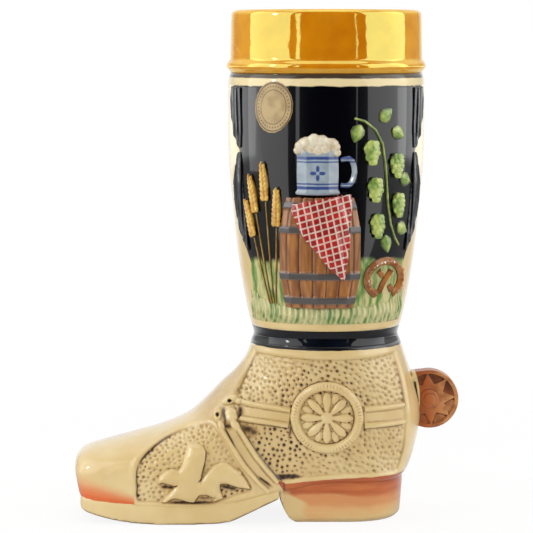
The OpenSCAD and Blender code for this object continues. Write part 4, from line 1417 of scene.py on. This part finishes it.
def painted(name, colours):
    """Underglaze colours with dark lines where the piece's wash says so."""
    def paint(flow):
        place = place_of(flow)
        wash_and_shade_amount = number(flow, "wash")
        line = (wash_and_shade_amount * (0.7 + 0.6 * cloud(place, 3 * MM, 3))).rise(0.4, 1.0) * 0.85
        colour = line.mix(colours(flow, place), LINE_DARK)
        return {"Base Color": colour, "Normal": uneven(place, 4 * MM, 0.07 * MM)}
    return new_finish(name, paint, **GLOSS)


print("picture bench ready")

# %% Curtains and meadow
PLEAT_SPACING = 3.4
PLEAT_SINK = 0.22 * MM
TUFT_SPACING = 2.6
TUFT_SINK = 0.3 * MM
GRASS_TIP = (0.62, 0.62, 0.30)


def drape_colours(flow, place):
    # Pleat crests in a paler navy: thin glaze and a painted highlight.
    return number(flow, "ridge").mix(NAVY, NAVY_THIN_AND_SHEEN)


def meadow_colours(flow, place):
    strokes = cloud(place, 3 * MM, 4, (1, 1, 0.2))
    green = strokes.rise(0.3, 0.62).mix(GRASS, GRASS_PALE)
    return number(flow, "ridge").mix(green, GRASS_TIP)


drape_glaze = painted("drape_glaze", drape_colours)
meadow_paint = painted("meadow_paint", meadow_colours)
for side in SIDES:
    drapes = on_leg(side, "panel_drapes")
    a, z = arc_places(points_of(drapes))
    pleats = np.sin((np.abs(a) - 50) * math.tau / PLEAT_SPACING + 1.2 * np.sin(z / 9))
    move_in(drapes, PLEAT_SINK * pleats)
    keep_number(drapes, "ridge", soft_step(-pleats, 0.4, 1.0))
    keep_number(drapes, "wash", soft_step(pleats, 0.5, 1.0) * 0.5)
    hand_in(drapes, f"{side}_panel_drapes", "navy_glaze", drape_glaze)

    meadow = on_leg(side, "meadow")
    a, z = arc_places(points_of(meadow))
    tufts = np.sin(a * math.tau / TUFT_SPACING + 1.6 * np.sin(z / 2.1) + 2.3 * np.sin(a / 7))
    move_in(meadow, TUFT_SINK * tufts)
    keep_number(meadow, "ridge", soft_step(-tufts, 0.2, 1.0) * 0.6)
    keep_number(meadow, "wash", soft_step(tufts, 0.6, 1.0) * 0.6)
    hand_in(meadow, f"{side}_meadow", "meadow_green", meadow_paint)

# %% [markdown]
# The barrel's staves are parted by grooves that follow its belly, so a stave line is a fixed share of
# the barrel's half width at every height. The cloth lies over the hoops; it is a thin slab with folds
# that run down from the barrel's head, in a red and white check.

# %% Barrel and cloth
BARREL_A = -4
BARREL_Z = 130.4
BARREL_HALF = 26
BARREL_BELLY = 20
BARREL_HEAD = 16
HOOPS = (-0.86, -0.42, 0.42, 0.86)
HOOP_HALF = 1.7
HOOP_LINE = 0.4
GROOVE_HALF = 0.45
GROOVE_SINK = 0.45 * MM
STAVES = np.array((-0.82, -0.5, -0.17, 0.17, 0.5, 0.82))
OAK = (0.46, 0.19, 0.050)
OAK_DARK = (0.22, 0.075, 0.020)
HOOP_IRON = (0.085, 0.075, 0.070)
CLOTH_RED = (0.56, 0.020, 0.014)
CLOTH_DEEP = (0.30, 0.008, 0.008)
CLOTH_WHITE = (0.80, 0.66, 0.54)
CLOTH_BACK_GAP = 0.85 * MM
CHECK = 3.2
FOLD_SINK = 0.32 * MM


def oak_colours(flow, place):
    grain = cloud(place, 2.5 * MM, 5, (1, 1, 0.1)).rise(0.3, 0.7).mix(OAK, OAK_DARK)
    return number(flow, "hoop").mix(grain, HOOP_IRON)


def cloth_colours(flow, place):
    red = cloud(place, 5 * MM, 3).rise(0.3, 0.7).mix(CLOTH_RED, CLOTH_DEEP)
    waves = [flow.maths("SINE", number(flow, way) * (math.pi / CHECK)) for way in ("across", "up")]
    lines = [abs(wave).rise(0.90, 0.97) for wave in waves]
    return ((lines[0] | lines[1]) * 0.8).mix(red, CLOTH_WHITE)


oak_paint = painted("oak_paint", oak_colours)
cloth_paint = painted("cloth_paint", cloth_colours)
for side in SIDES:
    barrel = on_leg(side, "barrel")
    barrel_skin = skin_of(barrel)
    a, z = arc_places(points_of(barrel))
    share = (z - BARREL_Z) / BARREL_HALF
    half = BARREL_BELLY - (BARREL_BELLY - BARREL_HEAD) * share ** 2
    from_hoop = np.min([np.abs(z - BARREL_Z - t * BARREL_HALF) for t in HOOPS], axis=0)
    hoop = 1 - soft_step(from_hoop, HOOP_HALF - 0.4, HOOP_HALF + 0.2)
    joint = np.min(np.abs((a - BARREL_A)[:, None] - half[:, None] * STAVES), axis=1)
    groove = np.exp(-(joint / GROOVE_HALF) ** 2) * (1 - hoop)
    under_hoop = np.exp(-((from_hoop - HOOP_HALF - HOOP_LINE) / HOOP_LINE) ** 2)
    move_in(barrel, GROOVE_SINK * groove)
    keep_number(barrel, "hoop", hoop)
    keep_number(barrel, "wash", np.maximum(groove, 0.7 * under_hoop))
    hand_in(barrel, f"{side}_barrel", "oak_brown", oak_paint)

    cloth = on_leg(side, "cloth", (), barrel_skin, CLOTH_BACK_GAP)
    a, z = arc_places(points_of(cloth))
    folds = np.sin((a + 0.35 * (z - 150)) * 0.9 + 0.8 * np.sin(z / 6))
    move_in(cloth, FOLD_SINK * (folds + 0.85))
    keep_number(cloth, "across", a + 0.2 * (z - 150))
    keep_number(cloth, "up", z - 0.3 * a)
    keep_number(cloth, "wash", soft_step(folds, 0.45, 1.0) * 0.55)
    hand_in(cloth, f"{side}_cloth", "cloth_red", cloth_paint)

# %% [markdown]
# The mug is salt-glazed grey with blue bands. Its froth is a heap of balls that melt together.

# %% Mug
MUG_A = -5
MUG_FOOT = 157.6
FROTH_FROM = 20.4
FROTH_OFF = 1.3
FROTH = [(-8, 22.6, 2.6), (-5, 24.2, 3), (-1.6, 25.6, 3), (2.2, 25, 3), (5.6, 23.8, 2.8), (8.2, 22.2, 2.3),
         (-9.2, 20.6, 1.9), (-3, 22, 2.6), (0.2, 20.9, 2.2), (3.4, 22, 2.6), (9, 19.6, 1.8)]
SPRAY_HEIGHT = 10.2
SPRAY_PETALS = 4
MUG_BANDS = ((3.4, 0.7), (5.2, 0.35), (15.4, 0.35), (17.2, 0.7))
MUG_GREY = (0.40, 0.46, 0.50)
MUG_SHADE = (0.28, 0.34, 0.40)
MUG_BLUE = (0.035, 0.075, 0.26)
FROTH_WHITE = (0.86, 0.78, 0.60)
FROTH_SHADE = (0.62, 0.48, 0.28)


def mug_colours(flow, place):
    [height] = mm_along(place, "Z")
    z = height - MUG_FOOT + (cloud(place, 6 * MM, 2) - 0.5) * 0.4
    grey = cloud(place, 6 * MM, 4).rise(0.3, 0.7).mix(MUG_GREY, MUG_SHADE)
    band = 1 - (abs(z - MUG_BANDS[0][0]) - MUG_BANDS[0][1]).rise(-0.2, 0.2)
    for middle, half in MUG_BANDS[1:]:
        band = band | (1 - (abs(z - middle) - half).rise(-0.2, 0.2))
    body = (band | number(flow, "spray")).mix(grey, MUG_BLUE)
    froth = cloud(place, 3 * MM, 3).rise(0.3, 0.75).mix(FROTH_WHITE, FROTH_SHADE)
    return number(flow, "froth").mix(body, froth)


mug_paint = painted("mug_paint", mug_colours)
heap = [(MUG_A + a, MUG_FOOT + z, 0, FROTH_OFF, size, size, 0.8 * size) for a, z, size in FROTH]
for side in SIDES:
    mug = on_leg(side, "mug", heap)
    a, z = arc_places(points_of(mug))
    froth = soft_step(z - MUG_FOOT, FROTH_FROM, FROTH_FROM + 0.8)
    for ball in heap:
        away = np.hypot(a - ball[0], z - ball[1])
        froth = np.maximum(froth, 1 - soft_step(away, ball[4] * 0.9, ball[4] * 1.1))
    petal = np.cos(SPRAY_PETALS * np.arctan2(z - MUG_FOOT - SPRAY_HEIGHT, a - MUG_A))
    reach = np.hypot(a - MUG_A, z - MUG_FOOT - SPRAY_HEIGHT)
    spray = (1 - soft_step(reach - 2.2 - 1.4 * petal, -0.3, 0.3)) * soft_step(reach, 0.6, 1.0)
    keep_number(mug, "froth", froth)
    keep_number(mug, "spray", spray * (1 - froth))
    wash_low_down(mug, -0.2 * MM, 0.8 * MM)
    hand_in(mug, f"{side}_mug", "mug_grey", mug_paint)

# %% [markdown]
# Barley ears carry grains in three rows, tilted outwards and each a little behind the last, and hop
# cones carry scales in rings. Both are balls, long and thin for a grain and flat and broad for a scale.

# %% Barley and hops
BARLEY_EARS = ((-1, 37), (5, 49), (12, 44), (17, 33))
BARLEY_FOOT = (-25.6, 105.6)
BARLEY_STEP = 1.3
EAR_LENGTH = 17
GRAIN_STEP = 2.1
HOP_CONES = ((20.6, 178, 3.8), (35, 171.6, 4), (22.6, 160.6, 3.8), (36.6, 153, 3.8), (24, 143.6, 3.6))
CONE_WIDTHS = (0.72, 0.95, 0.9, 0.7, 0.42)
CONE_TOP = 3.2
SCALE_STEP = 2.1
SCALES_ROUND = 4
BARLEY_GOLD = (0.80, 0.50, 0.085)
BARLEY_BROWN = (0.58, 0.27, 0.035)
HOP_PALE = (0.50, 0.58, 0.14)
HOP_GREEN = (0.17, 0.30, 0.045)


def grains():
    rows = []
    for i, (lean, stalk) in enumerate(BARLEY_EARS):
        c, s = cos_sin(lean)
        for k in range(int(EAR_LENGTH / GRAIN_STEP)):
            up = stalk + 1.2 + k * GRAIN_STEP
            narrow = 1 - 0.5 * (k * GRAIN_STEP / EAR_LENGTH) ** 2
            for row in (-1, 0, 1):
                off = row * 1.5 * narrow
                height = up + (0.5 * GRAIN_STEP if row == 0 else 0)
                a = BARLEY_FOOT[0] - BARLEY_STEP * i - s * height + c * off
                z = BARLEY_FOOT[1] + c * height + s * off
                rows.append((a, z, lean - 16 * row, 1.5 - 0.5 * abs(row), 1.6, 0.85 * narrow, 0.9))
    return rows


def scales():
    rows = []
    for a, z, half in HOP_CONES:
        for k, share in enumerate(CONE_WIDTHS):
            level = z + CONE_TOP - SCALE_STEP * k
            for j in range(SCALES_ROUND):
                place = (j - 1.5 + 0.25 * (-1) ** k) / 1.75
                aside = half * share * place * 0.85
                lift = 2.2 - 1.1 * place ** 2
                rows.append((a + aside, level, 18 * place, lift, 1.7, 0.36 * half, 0.75))
    return rows


def barley_colours(flow, place):
    return cloud(place, 4 * MM, 4).rise(0.35, 0.7).mix(BARLEY_GOLD, BARLEY_BROWN)


def hop_colours(flow, place):
    return cloud(place, 5 * MM, 4).rise(0.35, 0.65).mix(HOP_PALE, HOP_GREEN)


barley_paint = painted("barley_paint", barley_colours)
hop_paint = painted("hop_paint", hop_colours)
SHEAVES = (("barley", grains, "barley_gold", barley_paint), ("hops", scales, "hop_green", hop_paint))
for side in SIDES:
    for name, balls, slot, paint in SHEAVES:
        sprig = on_leg(side, name, balls())
        wash_low_down(sprig, 0.2 * MM, 1.6 * MM)
        hand_in(sprig, f"{side}_{name}", slot, paint)

# %% Pretzel with salt
PRETZEL_AT = (29.6, 117.4)
PRETZEL_REACH = (10.8, 8.6)
SALT_SEED = 11
SALT_COUNT = 26
SALT_TURN = 57
# Height over the leg and three half sizes
SALT_SHAPE = (2.5, 0.62, 0.5, 0.5)
CRUST = (0.52, 0.20, 0.036)
CRUST_DARK = (0.25, 0.075, 0.014)
SALT_WHITE = (0.86, 0.83, 0.76)


def pretzel_colours(flow, place):
    crust = cloud(place, 6 * MM, 4).rise(0.3, 0.7).mix(CRUST, CRUST_DARK)
    return number(flow, "salt").mix(crust, SALT_WHITE)


dice = np.random.default_rng(SALT_SEED)
turns = np.radians(np.linspace(-50, 230, SALT_COUNT) + dice.uniform(-4, 4, SALT_COUNT))
offsets = 1 + dice.uniform(-0.08, 0.08, SALT_COUNT)
salt = []
for i, (turn, offset) in enumerate(zip(turns, offsets)):
    a = PRETZEL_AT[0] + PRETZEL_REACH[0] * offset * math.cos(turn)
    z = PRETZEL_AT[1] + PRETZEL_REACH[1] * offset * math.sin(turn)
    salt.append((a, z, SALT_TURN * i, *SALT_SHAPE))
pretzel_paint = painted("pretzel_paint", pretzel_colours)
for side in SIDES:
    pretzel = on_leg(side, "pretzel", salt)
    a, z = arc_places(points_of(pretzel))
    heights = wash_low_down(pretzel, 0.1 * MM, 1.3 * MM)
    grain = np.max([1 - soft_step(np.hypot(a - b[0], z - b[1]), 0.4, 0.7) for b in salt], axis=0)
    keep_number(pretzel, "salt", grain * soft_step(heights, 2.3 * MM, 2.6 * MM))
    hand_in(pretzel, f"{side}_pretzel", "crust_brown", pretzel_paint)

# %% [markdown]
# ## Label
#
# An oval paper label is stuck on the near panel. Its print is plain: two dark rings with a ring of dots
# between them on tan paper. The label stores its own flat coordinates on its points, so the rings are
# true ovals.

# %% Paper label
LABEL_AT = (-27, 198)
LABEL_TURN = -10
LABEL_HALF = (10.4, 12.0)
LABEL_DOTS = 36
OUTER_RING = 0.93
DOT_RING = 0.8
INNER_RING = 0.66
PAPER_TAN = (0.52, 0.37, 0.16)
PAPER_WORN = (0.38, 0.25, 0.10)
PRINT_DARK = (0.065, 0.035, 0.016)


def label_paint(flow):
    place = place_of(flow)
    p, q = number(flow, "label_p"), number(flow, "label_q")
    reach = (p * p + q * q) ** 0.5
    turn = flow.maths("ARCTAN2", q, p)
    rim = 1 - abs(reach - OUTER_RING).rise(0.02, 0.035)
    rim = rim | (1 - abs(reach - INNER_RING).rise(0.01, 0.022))
    dots = flow.maths("COSINE", turn * LABEL_DOTS).rise(0.2, 0.5)
    dots = dots * (1 - abs(reach - DOT_RING).rise(0.02, 0.04))
    paper = cloud(place, 5 * MM, 5).rise(0.35, 0.7).mix(PAPER_TAN, PAPER_WORN)
    ink = (rim | dots) * (0.55 + 0.45 * cloud(place, 2 * MM, 3))
    dull = 0.35 + 0.2 * cloud(place, 4 * MM, 3)
    return {"Base Color": ink.mix(paper, PRINT_DARK), "Roughness": dull}


label = bench_copy("label")
edit_all(label)
bpy.ops.mesh.subdivide(number_cuts=5)
bpy.ops.object.mode_set(mode="OBJECT")
a, z = arc_places(points_of(label))
c, s = cos_sin(LABEL_TURN)
keep_number(label, "label_p", ((a - LABEL_AT[0]) * c + (z - LABEL_AT[1]) * s) / LABEL_HALF[0])
keep_number(label, "label_q", ((z - LABEL_AT[1]) * c - (a - LABEL_AT[0]) * s) / LABEL_HALF[1])
label_paper = new_finish("label_paper", label_paint, Coat_Weight=0.4, Coat_Roughness=0.15)
hand_in(label, "label", "label_paper", label_paper)
